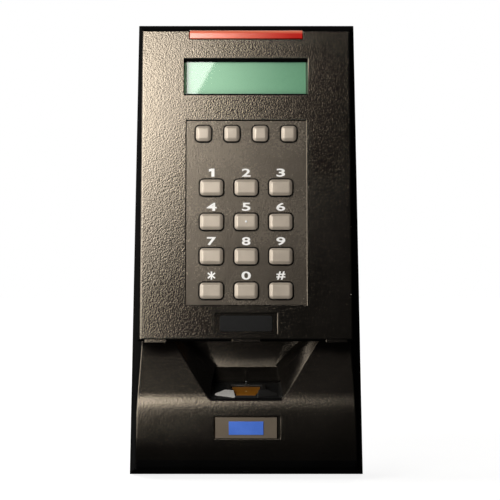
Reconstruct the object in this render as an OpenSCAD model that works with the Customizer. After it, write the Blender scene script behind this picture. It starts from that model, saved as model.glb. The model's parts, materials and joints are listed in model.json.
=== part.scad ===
// Wall reader with a card antenna, a key pad, a display and a finger sensor in its chin.
// Millimetres. The wall is the plane Y = 0 and the reader stands out from it towards -Y, with +Z up.
// In profiles, t is the distance from the wall (t = -Y). On the sloped face, d is the depth behind it.

/* [Body] */
// Width of the wall outline at its top edge
body_w_top = 95.6; // [92:0.2:104]
// Width of the wall outline at its bottom edge
body_w_bottom = 104; // [100:0.2:112]
// Lean of the side walls towards the front, in degrees
side_lean = 8.5; // [6:0.5:10]
// Wall thickness of the moulded shells
shell_t = 2.4; // [2:0.1:3]
// Distance from the wall to the top edge of the face
depth_top = 20; // [19:0.5:26]
// Distance from the wall to the lower edge of the face
depth_bottom = 36; // [34:0.5:40]
// Drop of the top wall from the wall outline to the face
top_drop = 4.6; // [2:0.1:8]
// Height of the face's lower edge above the bottom of the wall outline
chin_h = 61.8; // [60:0.2:70]

/* [Front cover] */
// Thickness of the face plate
cover_t = 3; // [2.6:0.1:4]
// Depth of the cover's skirt behind the face
skirt_d = 7; // [5.5:0.5:8.5]
// From the face's top edge down to the display opening
top_margin = 12.2; // [10:0.1:20]
// From the display opening down to the key panel
display_to_panel = 11.3; // [6:0.1:20]
// From the key panel down to the upper badge
panel_to_badge = 3.6; // [2:0.1:10]
// From the upper badge down to the face's lower edge
badge_to_edge = 2.5; // [1.5:0.1:8]
// Width of the end tabs under the face's lower edge
end_tab_w = 9.2; // [5:0.1:12]
// Width of the middle tab under the face's lower edge
middle_tab_w = 12.2; // [6:0.1:16]
// How far the tabs stand below the face's lower edge
tab_drop = 1.2; // [0.5:0.1:1.4]

/* [Light bar] */
// Width of the light bar
bar_w = 49; // [40:0.5:60]
// Height of the light bar on the face
bar_h = 3.4; // [2.8:0.1:5]
// How far the light bar stands above the face's top edge
bar_proud = 0.4; // [0.2:0.1:0.8]

/* [Display] */
// Width of the display opening
lcd_w = 53.8; // [44:0.2:60]
// Height of the display opening
lcd_h = 16; // [12:0.2:24]
// Inward slant of the opening's four walls
lcd_slant = 1; // [0.4:0.1:1.8]
// Thickness of the display window
window_t = 1; // [0.8:0.1:1.4]
// Thickness of the display cell
cell_t = 2; // [1.4:0.1:2.4]

/* [Key pad] */
// Distance between the number keys, both ways
key_pitch = 14.9; // [14:0.1:17]
// Width of a number key
key_w = 10.6; // [9:0.1:12]
// Height of a number key
key_h = 7.6; // [6.4:0.1:9]
// Distance between the soft keys
soft_pitch = 12.3; // [11:0.1:14]
// Width of a soft key
soft_w = 7.2; // [6:0.1:9]
// Height of a soft key
soft_h = 7.4; // [6:0.1:9]
// Corner radius of the keys
key_corner = 1.9; // [1:0.1:2.5]
// Width of the slanted edge of a key
key_bevel = 1.2; // [0.6:0.1:2]
// Drop of the slanted edge of a key
key_bevel_drop = 0.8; // [0.4:0.1:1.2]
// Height of a key above the panel
key_rise = 1.7; // [1.4:0.1:2.2]
// Gap around each key
key_gap = 0.35; // [0.25:0.05:0.5]
// How far a key can be pressed
key_travel = 1.2; // [0.8:0.1:1.6]
// Thickness and overhang of the flange that keeps a key in
key_flange = 0.9; // [0.7:0.1:1.1]
// From the panel's upper edge to the middle of the soft keys
soft_margin = 5.8; // [5:0.1:9]
// From the soft keys' middle to the first row of number keys
soft_to_rows = 23.6; // [18:0.1:28]
// From the last row's middle to the panel's lower edge
row_margin = 6.1; // [5.5:0.1:9]
// From the outer keys to the panel's side edges
panel_side = 3.9; // [2:0.1:8]
// Depth of the recess that holds the key panel
panel_recess = 1.4; // [1.2:0.1:1.7]
// Thickness of the key panel
panel_t = 0.5; // [0.3:0.1:0.8]

/* [Badges] */
// Width of the upper badge
badge_w = 26.5; // [18:0.5:34]
// Height of the upper badge
badge_h = 8.7; // [6:0.1:11]
// Depth of the upper badge's recess
badge_recess = 0.8; // [0.6:0.1:1.1]
// Bare margin around the upper badge's inlay
inlay_margin = 1; // [0.4:0.1:2]
// Width of the lower badge plate
plate_w = 26.2; // [18:0.2:34]
// Height of the lower badge plate
plate_h = 9.1; // [7:0.1:12]
// Width of the label on the lower badge
label_w = 14.7; // [8:0.1:17]
// Height of the label on the lower badge
label_h = 5.9; // [3:0.1:6.6]
// Drop of the lower badge's middle below the crown
plate_drop = 5.5; // [5:0.1:9]

/* [Chin] */
// Distance from the wall to the chin's crown
chin_depth = 40.5; // [39:0.5:45]
// Drop of the crown below the face's lower edge
crown_drop = 32; // [29:0.1:34]
// Radius above the crown
crown_r = 18; // [14:0.5:20]
// Slope of the chin's upper side, in degrees from upright
chin_slope = 33; // [30:1:36]
// Distance from the wall to the chin's lower edge
foot_t = 27; // [24:0.5:30]
// Rise of the chin's lower edge above the wall outline's bottom
foot_rise = 6; // [4:0.1:9]
// Distance from the wall to the seam between chin and housing
seam_t = 16; // [15:0.5:19]

/* [Finger pocket] */
// Width of the pocket's mouth at its top
mouth_w = 64.4; // [58:0.2:68]
// Width of the pocket's back facet at its top
facet_w = 50.2; // [46:0.2:54]
// Height of the back facet
facet_h = 12.4; // [11:0.1:14]
// Lean of the back facet towards the front over its height
facet_lean = 4.5; // [3:0.1:6]
// Width of the slanted band beside the back facet
facet_band = 1.7; // [0.6:0.1:2.4]
// Width of the throat that leads to the sensor
throat_w = 31; // [29:0.2:33]
// Radius along the throat's lower corners
throat_r = 2; // [1.4:0.1:2.6]
// Rise of the pocket's lip above the crown
lip_rise = 6.8; // [4:0.1:8]
// Slope of the sensor floor, in degrees
floor_slope = 14.4; // [10:0.2:18]
// Wall thickness of the pocket
pocket_t = 2; // [1.6:0.1:2.2]

/* [Finger sensor] */
// Width of the sensor die
die_w = 12; // [10.5:0.1:14]
// Length of the sensor die
die_l = 11; // [11:0.1:14]
// Width of the die's front edge
die_front_w = 8; // [5:0.1:10]
// Length of the die's slanted front corners
die_corner_l = 6.8; // [4:0.1:10]
// Width of the rubber gasket around the die
gasket_w = 0.7; // [0.5:0.05:1]
// Height of the metal bezel above the floor, at its back
bezel_t = 1.3; // [1:0.1:1.8]
// How much higher the bezel stands beside the die's front corners
bezel_rise = 1.4; // [0.8:0.1:1.8]
// Height of the die above the floor
die_proud = 1; // [0.6:0.1:1.2]

/* [Wall mount] */
// Thickness of the wall plate
wall_plate_t = 2; // [1.6:0.1:2.6]
// Vertical distance between the wall screws
wall_screw_gap = 83.3; // [60:0.1:84]
// Diameter of the wall screw holes
wall_hole_d = 4.4; // [3.6:0.1:5.4]
// Width of the cable opening
cable_w = 44; // [42:1:50]
// Height of the cable opening
cable_h = 50; // [40:1:56]
// Corner radius of the cable opening
cable_r = 4; // [1:0.5:8]
// Room for screw heads between wall plate and housing
head_room = 2.6; // [2.4:0.1:4]

/* [Boards] */
// Thickness of the circuit boards
board_t = 1.6; // [1.2:0.1:2]
// Width of the main board
main_w = 66; // [60:1:68]
// Height of the main board
main_h = 100; // [92:1:104]
// Height of the main board's posts
post_h = 4; // [3.5:0.1:5]
// Height of the key mat's domes under a fully pressed key
dome_pressed_h = 2.2; // [1.8:0.1:2.8]
// Thickness of the key mat
mat_t = 0.8; // [0.6:0.1:1.2]

/* [Hidden] */
$fn = 64;
// general clearances
fit = 0.15;
bore_fit = 0.1;
cut = 1;
far = 600;

function unit(v) = v / norm(v);

// face contents, from the top edge downwards
rows = 4;
cols = 3;
soft_keys = 4;
panel_h = soft_margin + soft_to_rows + (rows - 1) * key_pitch + row_margin;
panel_w = max((cols - 1) * key_pitch + key_w, (soft_keys - 1) * soft_pitch + soft_w) + 2 * panel_side;
face_h = top_margin + lcd_h + display_to_panel + panel_h + panel_to_badge + badge_h + badge_to_edge;
lcd_s = face_h / 2 - top_margin - lcd_h / 2;
panel_top_s = lcd_s - lcd_h / 2 - display_to_panel;
panel_s = panel_top_s - panel_h / 2;
soft_s = panel_top_s - soft_margin;
first_row_s = soft_s - soft_to_rows;
badge_s = -face_h / 2 + badge_to_edge + badge_h / 2;

// the sloped face in the profile
tilt = asin((depth_bottom - depth_top) / face_h);
body_h = top_drop + face_h * cos(tilt) + chin_h;
face_t = (depth_top + depth_bottom) / 2;
face_low_z = -body_h / 2 + chin_h;
face_z = face_low_z + face_h * cos(tilt) / 2;
function face_pt(d, s) = [face_t - d * cos(tilt) - s * sin(tilt), face_z - d * sin(tilt) + s * cos(tilt)];
function face_s(d, z) = (z - face_z + d * sin(tilt)) / cos(tilt);
function face_t_at(d, z) = face_pt(d, face_s(d, z))[0];

// outer walls
taper = (body_w_bottom - body_w_top) / (2 * body_h);
top_slope = top_drop / depth_top;
foot_slope = foot_rise / foot_t;
function half_w(t, z) = (body_w_top + body_w_bottom) / 4 - taper * z - tan(side_lean) * t;
function top_z(t, inset) = body_h / 2 - top_slope * t - inset * sqrt(1 + top_slope * top_slope);
function bottom_z(t, inset) = -body_h / 2 + foot_slope * t + inset * sqrt(1 + foot_slope * foot_slope);

// layers behind the face
key_seat = 0.02;
dome_h = key_travel + dome_pressed_h;
flange_d = cover_t + key_seat;
front_board_d = flange_d + key_flange + dome_h + mat_t;
front_board_back = front_board_d + board_t;
coil_t = 0.5;
key_top_d = panel_recess - panel_t - key_rise;
panel_gap = 0.1;

// layers in front of the wall
back_wall_t = wall_plate_t + head_room;
housing_floor_t = back_wall_t + shell_t;
main_board_back = housing_floor_t + post_h;
main_board_front = main_board_back + board_t;

// chin profile
crown_z = face_low_z - crown_drop;
foot_z = -body_h / 2 + foot_rise;
foot_back = chin_depth - foot_t;
under_r = ((crown_z - foot_z) * (crown_z - foot_z) + foot_back * foot_back) / (2 * foot_back);
crown_c = [chin_depth - crown_r, crown_z];
under_c = [chin_depth - under_r, crown_z];
slope_n = [cos(chin_slope), sin(chin_slope)];
chin_tuck = 2.2;
chin_top_z = face_low_z + chin_tuck;
function slope_t(z, inset) = crown_c[0] + (crown_r - inset - (z - crown_z) * slope_n[1]) / slope_n[0];
chin_gap = 0.25;
// the chin's sides flare from the seam inwards and then run straight to the front
chin_low_corner = half_w(foot_t, foot_z);
chin_top_corner = half_w(depth_bottom, face_low_z);
chin_taper = (chin_low_corner - chin_top_corner) / (face_low_z - foot_z);
chin_side_n = unit([1, 0, chin_taper]);
chin_flank = (half_w(seam_t, face_low_z) - chin_top_corner) / (slope_t(face_low_z, 0) - seam_t);
chin_flank_n = unit([1, -chin_flank, taper]);
cover_foot_d = ((face_pt(0, -face_h / 2) - crown_c) * slope_n - crown_r - chin_gap) / cos(chin_slope - tilt);

// finger pocket
lip_z = crown_z + lip_rise;
lip_t = crown_c[0] + sqrt(crown_r * crown_r - lip_rise * lip_rise);
lip_band = 1.5;
rest_t = 2;
ledge_t = 2.2;
ledge_roof = 0.5;
sensor_screw_tip = 0.3;
throat_hw = throat_w / 2;
ceiling_z = chin_top_z - shell_t - fit;
mouth_t = slope_t(ceiling_z, 0);
pocket_back = 1;
facet_t = seam_t + pocket_t - pocket_back;
facet_low = [facet_t + facet_lean, ceiling_z - facet_h];
widen_out = (mouth_w - facet_w) / 2 / (mouth_t - facet_t);
widen_up = (throat_hw - mouth_w / 2 - widen_out * (lip_t - mouth_t)) / (lip_z - ceiling_z);
facet_corner = [facet_w / 2, -facet_t, ceiling_z];
pocket_n = unit([1, widen_out, -widen_up]);
facet_n = unit([0, facet_h, -facet_lean]);
band_n = unit(pocket_n + facet_n);
band_in = facet_band / 2 * tan(acos(pocket_n * facet_n) / 2);
function floor_z(t) = lip_z + (lip_t - t) * tan(floor_slope);
relief_t = facet_t;
relief_wall = 1.3;
relief_z = floor_z(relief_t) + relief_wall;
throat_l = (lip_t - relief_t) / cos(floor_slope);
mouth_clear = 4;
mouth_front = chin_depth + mouth_clear;
mouth_low_z = lip_z - widen_out * (mouth_front - lip_t) / widen_up;

// finger sensor, along the floor from the lip
die_gap = 0.9;
die_v = lip_band + die_gap;
die_corner_a = atan(die_corner_l / ((die_w - die_front_w) / 2));
function die_outline(grow) = let(
    front = die_front_w / 2 + grow * tan(die_corner_a / 2),
    side = die_w / 2 + grow,
    shoulder = die_v + die_corner_l - grow * tan((90 - die_corner_a) / 2))
    [[-front, die_v - grow], [front, die_v - grow], [side, shoulder],
     [side, die_v + die_l + grow], [-side, die_v + die_l + grow], [-side, shoulder]];
bezel_rim = 1.6;
bezel_back_v = die_v + die_l + gasket_w + bezel_rim;
rest_end = throat_l - rest_t * tan(floor_slope) - fit;
sensor_board_side = 6;
sensor_board_lap = 0.2;
sensor_board_tail = 4.8;
sensor_board_w = die_w + 2 * sensor_board_side;
sensor_board_v = die_v - sensor_board_lap;
sensor_board_l = die_l + sensor_board_lap + sensor_board_tail;
sensor_board_z = -rest_t - ledge_t;
sensor_screw_gap = 3.2;
sensor_screw_x = die_w / 2 + sensor_screw_gap;
sensor_screw_v = die_v + die_l / 2;

// lower badge frame
plate_a = asin(plate_drop / under_r);
plate_t = under_c[0] + under_r * cos(plate_a);
plate_z = crown_z - plate_drop;
plate_sunk = 0.1;
plate_thick = 0.9;
plate_groove = 0.8;
plate_shift = 0.5;
label_t = 0.25;
inlay_t = 0.4;

// screws and their posts
screw_r = 1.45;
screw_head_r = 2.7;
screw_head_h = 1.9;
post_r = 3.2;
small_r = 1;
small_head_r = 1.9;
small_head_h = 1.3;
small_post_r = 2.4;
cover_joint_d = 9;
cover_post_in = [16, 10];
chin_post_in = [8, 10];
cover_post_z = [body_h / 2 - cover_post_in[0], face_low_z + cover_post_in[1]];
chin_post_z = [chin_top_z - chin_post_in[0], foot_z + chin_post_in[1]];
post_tip_gap = 1;
cover_screw_tip = 1.5;
chin_screw_tip = 2;
cover_bore_in = 0.4;
cover_bore_d = cover_t / 2 + cover_bore_in;
small_socket_d = 0.6;
function post_x(t, z) = half_w(t, z) - shell_t / cos(side_lean) - post_r - fit;
function cover_post(i) = let(z = cover_post_z[i])
    [post_x(face_t_at(cover_t, z), z), z, face_t_at(cover_joint_d, z)];
function chin_front_t(z) = z > crown_z
    ? slope_t(z, shell_t)
    : under_c[0] + sqrt(pow(under_r - shell_t, 2) - pow(z - crown_z, 2));
function chin_post(i) = let(z = chin_post_z[i]) [post_x(chin_front_t(z), z), z, seam_t];
sides = [-1, 1];

// front board on its posts
lcd_lap = 2.2;
lcd_frame_t = 1;
front_post_gap = 0.4;
post_clear = 2;
front_tip_gap = 0.6;
front_board_in = 5.5;
front_board_lap = 2;
front_hole_in = 3.4;
middle_hole_rise = 5;
front_board_w = max(lcd_w + 2 * lcd_lap + 2 * lcd_frame_t, panel_w) + 4 * (small_post_r + front_post_gap);
front_board_top = face_h / 2 - front_board_in;
front_board_low = panel_s - panel_h / 2 - front_board_lap;
front_board_hole_x = front_board_w / 2 - small_post_r - front_post_gap;
top_hole_s = face_s(front_board_back, cover_post_z[0]) - post_r - small_post_r - post_clear;
front_board_hole_s = [
    top_hole_s, panel_top_s + middle_hole_rise, front_board_low + front_hole_in];

// light bar
bar_s = face_h / 2 - bar_h;
bar_flange = 2;
bar_flange_t = 1.4;
bar_front = 0.3;
bar_bevel = 1.2;
led_size = [3.2, 1.4, 2];
led_count = 4;
led_in = 0.4;
bar_lip = 0.6;

// main board on its posts
main_drop = 24;
main_top_z = main_h / 2 - main_drop;
main_low_z = main_top_z - main_h;
main_hole_in = 3.6;
main_hole_x = main_w / 2 - main_hole_in;
main_hole_z = [main_top_z - main_hole_in, main_low_z + main_hole_in];
terminal_w = 38;
terminal_h = 12;
terminal_z = -8;
terminal_back_t = 3;
terminal_count = 10;
terminal_screw_r = 1.2;
terminal_sink = 0.6;
terminal_bore = 3;
terminal_slot = 0.5;
terminal_screw_z = terminal_z + terminal_h / 4;
window_gap = 1;
tamper_w = 6;
tamper_h = 5;
tamper_drop = 9;
tamper_gap = 1.2;
tamper_z = terminal_z - terminal_h / 2 - tamper_drop;
tamper_back_t = wall_plate_t + tamper_gap;
buzzer_r = 6;
buzzer_h = 5.5;
buzzer_vent_r = 1;
buzzer_x = -18;
buzzer_drop = 50;
// each chip's side offset and drop from the main board's top edge, its width and height, and its thickness
processor = [-18, 30, 14, 14, 1.4];
memory = [8, 26, 10, 7, 1.4];
regulator = [18, 42, 8, 12, 2.2];

// wall plate hooks and tab
hook_x = 24;
hook_w = 8;
hook_t = 2;
hook_lip = 3;
hook_drop = 30;
hook_z = body_h / 2 - hook_drop;
hook_gap = 0.2;
hook_side = 0.5;
tab_w = 12;
tab_t = 2.4;
tab_rise = 5.4;
tab_reach = 6.5;
tab_hole_in = 2.6;
tab_z = bottom_z(back_wall_t, shell_t) + tab_rise;
tab_front_t = housing_floor_t + tab_reach;
tab_hole_t = housing_floor_t + tab_hole_in;
security_r = 1.5;
security_head_r = 2.5;
security_head_h = 1.2;
security_clear = 0.4;
security_sink = security_head_h + security_clear;
security_socket_d = 0.8;
ledge_w = 2;

// ribbons
ribbon_t = 0.3;
ribbon_w = 20;
ribbon_pad = 4;
ribbon_drop = 1.5;

SOFT_NODES = [for (i = [1:soft_keys]) str("soft_key_", i)];
KEY_NAMES = ["1", "2", "3", "4", "5", "6", "7", "8", "9", "star", "0", "hash"];
KEY_NODES = [for (name = KEY_NAMES) str("key_", name)];
BODY_NODES = [
    "wall_plate", "rear_housing", "front_cover", "lower_cover", "finger_rest", "light_bar",
    "key_panel", "badge_upper", "badge_lower", "badge_label", "display_window", "display_cell",
    "display_frame", "backlight", "key_mat", "key_domes", "front_board", "antenna_coil",
    "status_leds", "main_board", "board_chips", "buzzer", "terminal_block", "terminal_screws",
    "tamper_sensor", "board_ribbon", "sensor_die", "sensor_bezel", "sensor_gasket", "sensor_board",
    "sensor_ribbon", "cover_seal", "cover_screws", "lower_cover_screws", "front_board_screws",
    "main_board_screws", "sensor_screws", "security_screw"];

charcoal = [0.20, 0.19, 0.18];
black = [0.07, 0.07, 0.07];
key_grey = [0.62, 0.59, 0.54];
board_green = [0.10, 0.32, 0.20];
steel = [0.70, 0.71, 0.72];

// frames and profiles

module face_frame() {
    translate([0, -face_t, face_z]) rotate([-tilt, 0, 0]) children();
}

module floor_frame() {
    translate([0, -lip_t, lip_z]) rotate([floor_slope, 0, 0]) children();
}

module plate_frame() {
    translate([0, -plate_t, plate_z]) rotate([plate_a, 0, 0]) children();
}

// a flat outline in (x, up), as thick as from depth d0 to d1 along +Y
module slab(d0, d1) {
    translate([0, d1, 0]) rotate([90, 0, 0]) linear_extrude(d1 - d0) children();
}

// a flat outline in (x, z), between the distances t0 and t1 from the wall
module off_wall(t0, t1) {
    slab(-t1, -t0) children();
}

// a profile in (t, z), w wide across the reader
module across(w) {
    rotate([90, 0, -90]) linear_extrude(w, center = true) children();
}

module round_rect(w, h, r) {
    square([w - 2 * r, h], center = true);
    square([w, h - 2 * r], center = true);
    for (i = sides, j = sides) translate([i * (w / 2 - r), j * (h / 2 - r)]) circle(r);
}

// a block between a rectangle at depth d0 and another at depth d1
module frustum(size0, d0, size1, d1) {
    intersection() {
        linear_extrude(far, center = true)
            polygon([[-size0[0] / 2, d0], [size0[0] / 2, d0], [size1[0] / 2, d1], [-size1[0] / 2, d1]]);
        rotate([0, -90, 0]) linear_extrude(far, center = true)
            polygon([[-size0[1] / 2, d0], [size0[1] / 2, d0], [size1[1] / 2, d1], [-size1[1] / 2, d1]]);
    }
}

// everything behind the plane through a point, seen along its normal
module half_space(normal, point) {
    n = unit(normal);
    translate(point) rotate([0, asin(-n[2]), atan2(n[1], n[0])])
        translate([-far, -far / 2, -far / 2]) cube(far);
}

// what lies between a slanted plane on the right and its mirror image
module between_planes(normal, point) {
    intersection() {
        half_space(normal, point);
        mirror([1, 0, 0]) half_space(normal, point);
    }
}

module between_sides(inset) {
    n = unit([1, -tan(side_lean), taper]);
    between_planes(n, [half_w(0, 0), 0, 0] - inset * n);
}

// everything inside the outer walls, moved in by inset, between the distances t0 and t1 from the wall
module wall_space(inset, t0, t1) {
    intersection() {
        between_sides(inset);
        across(far) polygon([
            [t0, bottom_z(t0, inset)], [t0, top_z(t0, inset)],
            [t1, top_z(t1, inset)], [t1, bottom_z(t1, inset)]]);
    }
}

// an upright round rod along the reader's depth
module rod(x, z, t0, t1, r) {
    translate([x, -t0, z]) rotate([90, 0, 0]) cylinder(h = t1 - t0, r = r);
}

// a screw along the depth, its head's seat at t and its tip towards the front
module screw(x, z, t, l, r, head_r, head_h) {
    translate([x, -t, z]) rotate([90, 0, 0]) difference() {
        union() {
            cylinder(h = l, r = r);
            translate([0, 0, -head_h]) cylinder(h = head_h, r = head_r);
        }
        translate([0, 0, -head_h - cut]) cylinder(h = head_h / 2 + cut, r = head_r / 2, $fn = 6);
    }
}

// places of the keys on the face

function soft_x(i) = (i - (soft_keys - 1) / 2) * soft_pitch;
function col_x(i) = (i % cols - (cols - 1) / 2) * key_pitch;
function row_s(i) = first_row_s - floor(i / cols) * key_pitch;

module at_soft_keys() {
    for (i = [0:soft_keys - 1]) translate([soft_x(i), soft_s]) children();
}

module at_number_keys() {
    for (i = [0:len(KEY_NAMES) - 1]) translate([col_x(i), row_s(i)]) children();
}

// the outline of every key, grown by grow
module key_outlines(grow) {
    at_soft_keys() round_rect(soft_w + 2 * grow, soft_h + 2 * grow, key_corner + grow);
    at_number_keys() round_rect(key_w + 2 * grow, key_h + 2 * grow, key_corner + grow);
}

module key_cap(w, h) {
    top = key_top_d + key_bevel_drop;
    intersection() {
        slab(key_top_d, flange_d) round_rect(w, h, key_corner);
        union() {
            frustum([w - 2 * key_bevel, h - 2 * key_bevel], key_top_d, [w, h], top);
            slab(top, flange_d) square([w, h], center = true);
        }
    }
    slab(flange_d, flange_d + key_flange) square([w + 2 * key_flange, h + 2 * key_flange], center = true);
}

module soft_key(i) {
    color(key_grey) face_frame() translate([soft_x(i), 0, soft_s]) key_cap(soft_w, soft_h);
}

module number_key(i) {
    color(key_grey) face_frame() translate([col_x(i), 0, row_s(i)]) key_cap(key_w, key_h);
}

module key_panel() {
    color(charcoal) face_frame() slab(panel_recess - panel_t, panel_recess) difference() {
        translate([0, panel_s]) square([panel_w - 2 * panel_gap, panel_h - 2 * panel_gap], center = true);
        key_outlines(key_gap);
    }
}

// the flat outlines that the key mat shares with the board
module mat_outline() {
    translate([0, panel_s]) square([panel_w, panel_h], center = true);
}

module key_mat() {
    color([0.30, 0.30, 0.32]) face_frame() slab(front_board_d - mat_t, front_board_d) mat_outline();
}

module dome(r) {
    base_d = front_board_d - mat_t;
    dome_taper = 0.7;
    translate([0, base_d, 0]) rotate([90, 0, 0]) cylinder(h = dome_h, r1 = r, r2 = r * dome_taper);
}

module key_domes() {
    dome_in = 0.5;
    color([0.45, 0.45, 0.47]) face_frame() {
        for (i = [0:soft_keys - 1]) translate([soft_x(i), 0, soft_s]) dome(soft_h / 2 - dome_in);
        for (i = [0:len(KEY_NAMES) - 1]) translate([col_x(i), 0, row_s(i)]) dome(key_h / 2 - dome_in);
    }
}

// shells

module front_cover_blank() {
    foot_s = -face_h / 2 + shell_t - fit;
    intersection() {
        wall_space(0, 0, depth_bottom + cut);
        across(far) polygon([
            face_pt(0, face_h / 2), face_pt(skirt_d, face_h), face_pt(skirt_d, foot_s),
            face_pt(cover_foot_d, foot_s), face_pt(cover_foot_d, -face_h / 2), face_pt(0, -face_h / 2)]);
    }
}

module front_cover_inside() {
    intersection() {
        wall_space(shell_t, 0, depth_bottom + cut);
        across(far) polygon([
            face_pt(cover_t, face_h), face_pt(far, face_h),
            face_pt(far, -face_h / 2 + shell_t), face_pt(cover_t, -face_h / 2 + shell_t)]);
    }
}

module face_tabs() {
    sunk = 0.4;
    end_in = 2;
    lap = 0.2;
    end_x = half_w(depth_bottom, face_low_z) - end_tab_w / 2 - end_in;
    slab(sunk, cover_t - sunk) translate([0, -face_h / 2 + (lap - tab_drop) / 2]) {
        for (i = sides) translate([i * end_x, 0]) square([end_tab_w, tab_drop + lap], center = true);
        square([middle_tab_w, tab_drop + lap], center = true);
    }
}

// the display opening's width and height at depth d
function lcd_opening(d) = [lcd_w, lcd_h] - 2 * lcd_slant * d / cover_t * [1, 1];

module front_cover() {
    color(charcoal) difference() {
        union() {
            difference() {
                front_cover_blank();
                front_cover_inside();
            }
            intersection() {
                front_cover_blank_deep();
                for (i = [0, 1], j = sides) let(p = cover_post(i))
                    rod(j * p[0], p[1], p[2], depth_bottom + cut, post_r);
            }
            face_frame() {
                for (i = sides, s = front_board_hole_s) translate([i * front_board_hole_x, cover_t / 2, s])
                    rotate([-90, 0, 0]) cylinder(h = front_board_d - cover_t / 2, r = small_post_r);
                face_tabs();
            }
        }
        for (i = [0, 1], j = sides) let(p = cover_post(i))
            rod(j * p[0], p[1], p[2] - cut, face_t_at(cover_bore_d, p[1]), screw_r + bore_fit);
        face_frame() {
            slab(-cut, panel_recess) translate([0, panel_s]) square([panel_w, panel_h], center = true);
            slab(0, cover_t + cut) key_outlines(key_gap);
            slab(-cut, badge_recess) translate([0, badge_s]) square([badge_w, badge_h], center = true);
            translate([0, 0, lcd_s])
                frustum(lcd_opening(-cut), -cut, lcd_opening(cover_t + cut), cover_t + cut);
            slab(-cut, cover_t + bar_flange_t) translate([-bar_w / 2 - fit, bar_s - fit])
                square([bar_w + 2 * fit, face_h]);
            for (i = sides, s = front_board_hole_s) translate([i * front_board_hole_x, cover_bore_d, s])
                rotate([-90, 0, 0]) cylinder(h = front_board_d, r = small_r + bore_fit);
        }
    }
}

// the cover's outside, carried on behind the skirt for its screw posts
module front_cover_blank_deep() {
    intersection() {
        wall_space(fit, 0, depth_bottom + cut);
        across(far) polygon([
            face_pt(cover_t / 2, face_h), face_pt(far, face_h),
            face_pt(far, -face_h / 2 + fit), face_pt(cover_t / 2, -face_h / 2 + fit)]);
    }
}

// the housing's region behind the two front seams
module housing_profile() {
    seam_pt = [face_t_at(skirt_d, chin_top_z), chin_top_z];
    polygon([
        [0, -body_h], [0, body_h], face_pt(skirt_d, face_h), seam_pt,
        [seam_t, chin_top_z], [seam_t, -body_h]]);
}

module rear_housing() {
    color(black) difference() {
        union() {
            difference() {
                intersection() {
                    wall_space(0, 0, depth_bottom);
                    across(far) housing_profile();
                }
                wall_space(shell_t, housing_floor_t, depth_bottom);
                wall_space(shell_t, -cut, wall_plate_t);
                wall_space(shell_t + ledge_w, -cut, back_wall_t);
            }
            for (i = [0, 1], j = sides) {
                p = cover_post(i);
                rod(j * p[0], p[1], back_wall_t, p[2], post_r);
                q = chin_post(i);
                rod(j * q[0], q[1], back_wall_t, q[2], post_r);
                rod(j * main_hole_x, main_hole_z[i], back_wall_t, main_board_back, small_post_r);
            }
        }
        for (i = [0, 1], j = sides) {
            p = cover_post(i);
            rod(j * p[0], p[1], back_wall_t - cut, p[2] + cut, screw_r + bore_fit);
            q = chin_post(i);
            rod(j * q[0], q[1], back_wall_t - cut, q[2] + cut, screw_r + bore_fit);
            rod(j * main_hole_x, main_hole_z[i], back_wall_t + cut, main_board_back + cut,
                small_r + bore_fit);
            off_wall(back_wall_t - cut, housing_floor_t + cut)
                translate([j * hook_x, hook_z - hook_lip])
                square([hook_w + 2 * hook_side, hook_t + 2 * hook_lip], center = true);
        }
        off_wall(back_wall_t - cut, housing_floor_t + cut) {
            translate([0, terminal_z])
                square([terminal_w + 2 * window_gap, terminal_h + 2 * window_gap], center = true);
            translate([0, tamper_z])
                square([tamper_w + 2 * window_gap, tamper_h + 2 * window_gap], center = true);
            translate([0, tab_z]) square([tab_w + 2 * hook_side, tab_t + 2 * hook_gap], center = true);
        }
        seal_band(0);
        security_hole();
    }
}

// the groove for the cover's seal along the housing's front rim
module seal_band(gap) {
    seal_w = 0.9;
    seal_in = (shell_t - seal_w) / 2;
    seal_d = 1;
    difference() {
        intersection() {
            wall_space(seal_in + gap, 0, depth_bottom);
            across(far) polygon([
                face_pt(skirt_d, face_h), face_pt(skirt_d + seal_d - gap, face_h),
                face_pt(skirt_d + seal_d - gap, face_s(skirt_d, chin_top_z) + shell_t),
                face_pt(skirt_d, face_s(skirt_d, chin_top_z) + shell_t)]);
        }
        wall_space(seal_in + seal_w - gap, 0, depth_bottom);
    }
}

module cover_seal() {
    seal_gap = 0.03;
    color([0.12, 0.12, 0.12]) seal_band(seal_gap);
}

// chin

// the chin's side profile, its outer surface moved in by inset and its back at t0
module chin_profile(inset, t0) {
    r = crown_r - inset;
    top = chin_top_z - inset;
    front = [chin_depth - inset, crown_z];
    clear = front + [r, 0];
    core = [crown_c[0], crown_z - crown_r / 3];
    tangent = crown_c + r * slope_n;
    polygon([[t0, top], [slope_t(top, inset), top], tangent, core, [t0, core[1]]]);
    intersection() {
        translate(crown_c) circle(r);
        polygon([core, front, clear, tangent + r * slope_n, tangent, [core[0], tangent[1]]]);
    }
    intersection() {
        translate(under_c) circle(under_r - inset);
        polygon([[t0, crown_z], clear, [clear[0], bottom_z(clear[0], inset)], [t0, bottom_z(t0, inset)]]);
    }
}

module chin_solid(inset, t0) {
    intersection() {
        across(far) chin_profile(inset, t0);
        union() {
            between_planes(chin_side_n, [chin_top_corner, 0, face_low_z] - inset * chin_side_n);
            between_planes(chin_flank_n, [half_w(seam_t, 0), -seam_t, 0] - inset * chin_flank_n);
        }
    }
}

// the space between the pocket's slanted sides, down to a floor line and back to the facet, grown by grow
module pocket_funnel(grow, top_z) {
    band_point = facet_corner - band_in * band_n;
    intersection() {
        between_planes(pocket_n, facet_corner + grow * pocket_n);
        between_planes(band_n, band_point + grow * band_n);
        half_space(facet_n, facet_corner + grow * facet_n);
        across(far) polygon([
            [0, top_z], [mouth_front, top_z], [mouth_front, mouth_low_z - grow],
            [facet_low[0], facet_low[1] - grow], [0, facet_low[1] - grow]]);
    }
}

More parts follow.
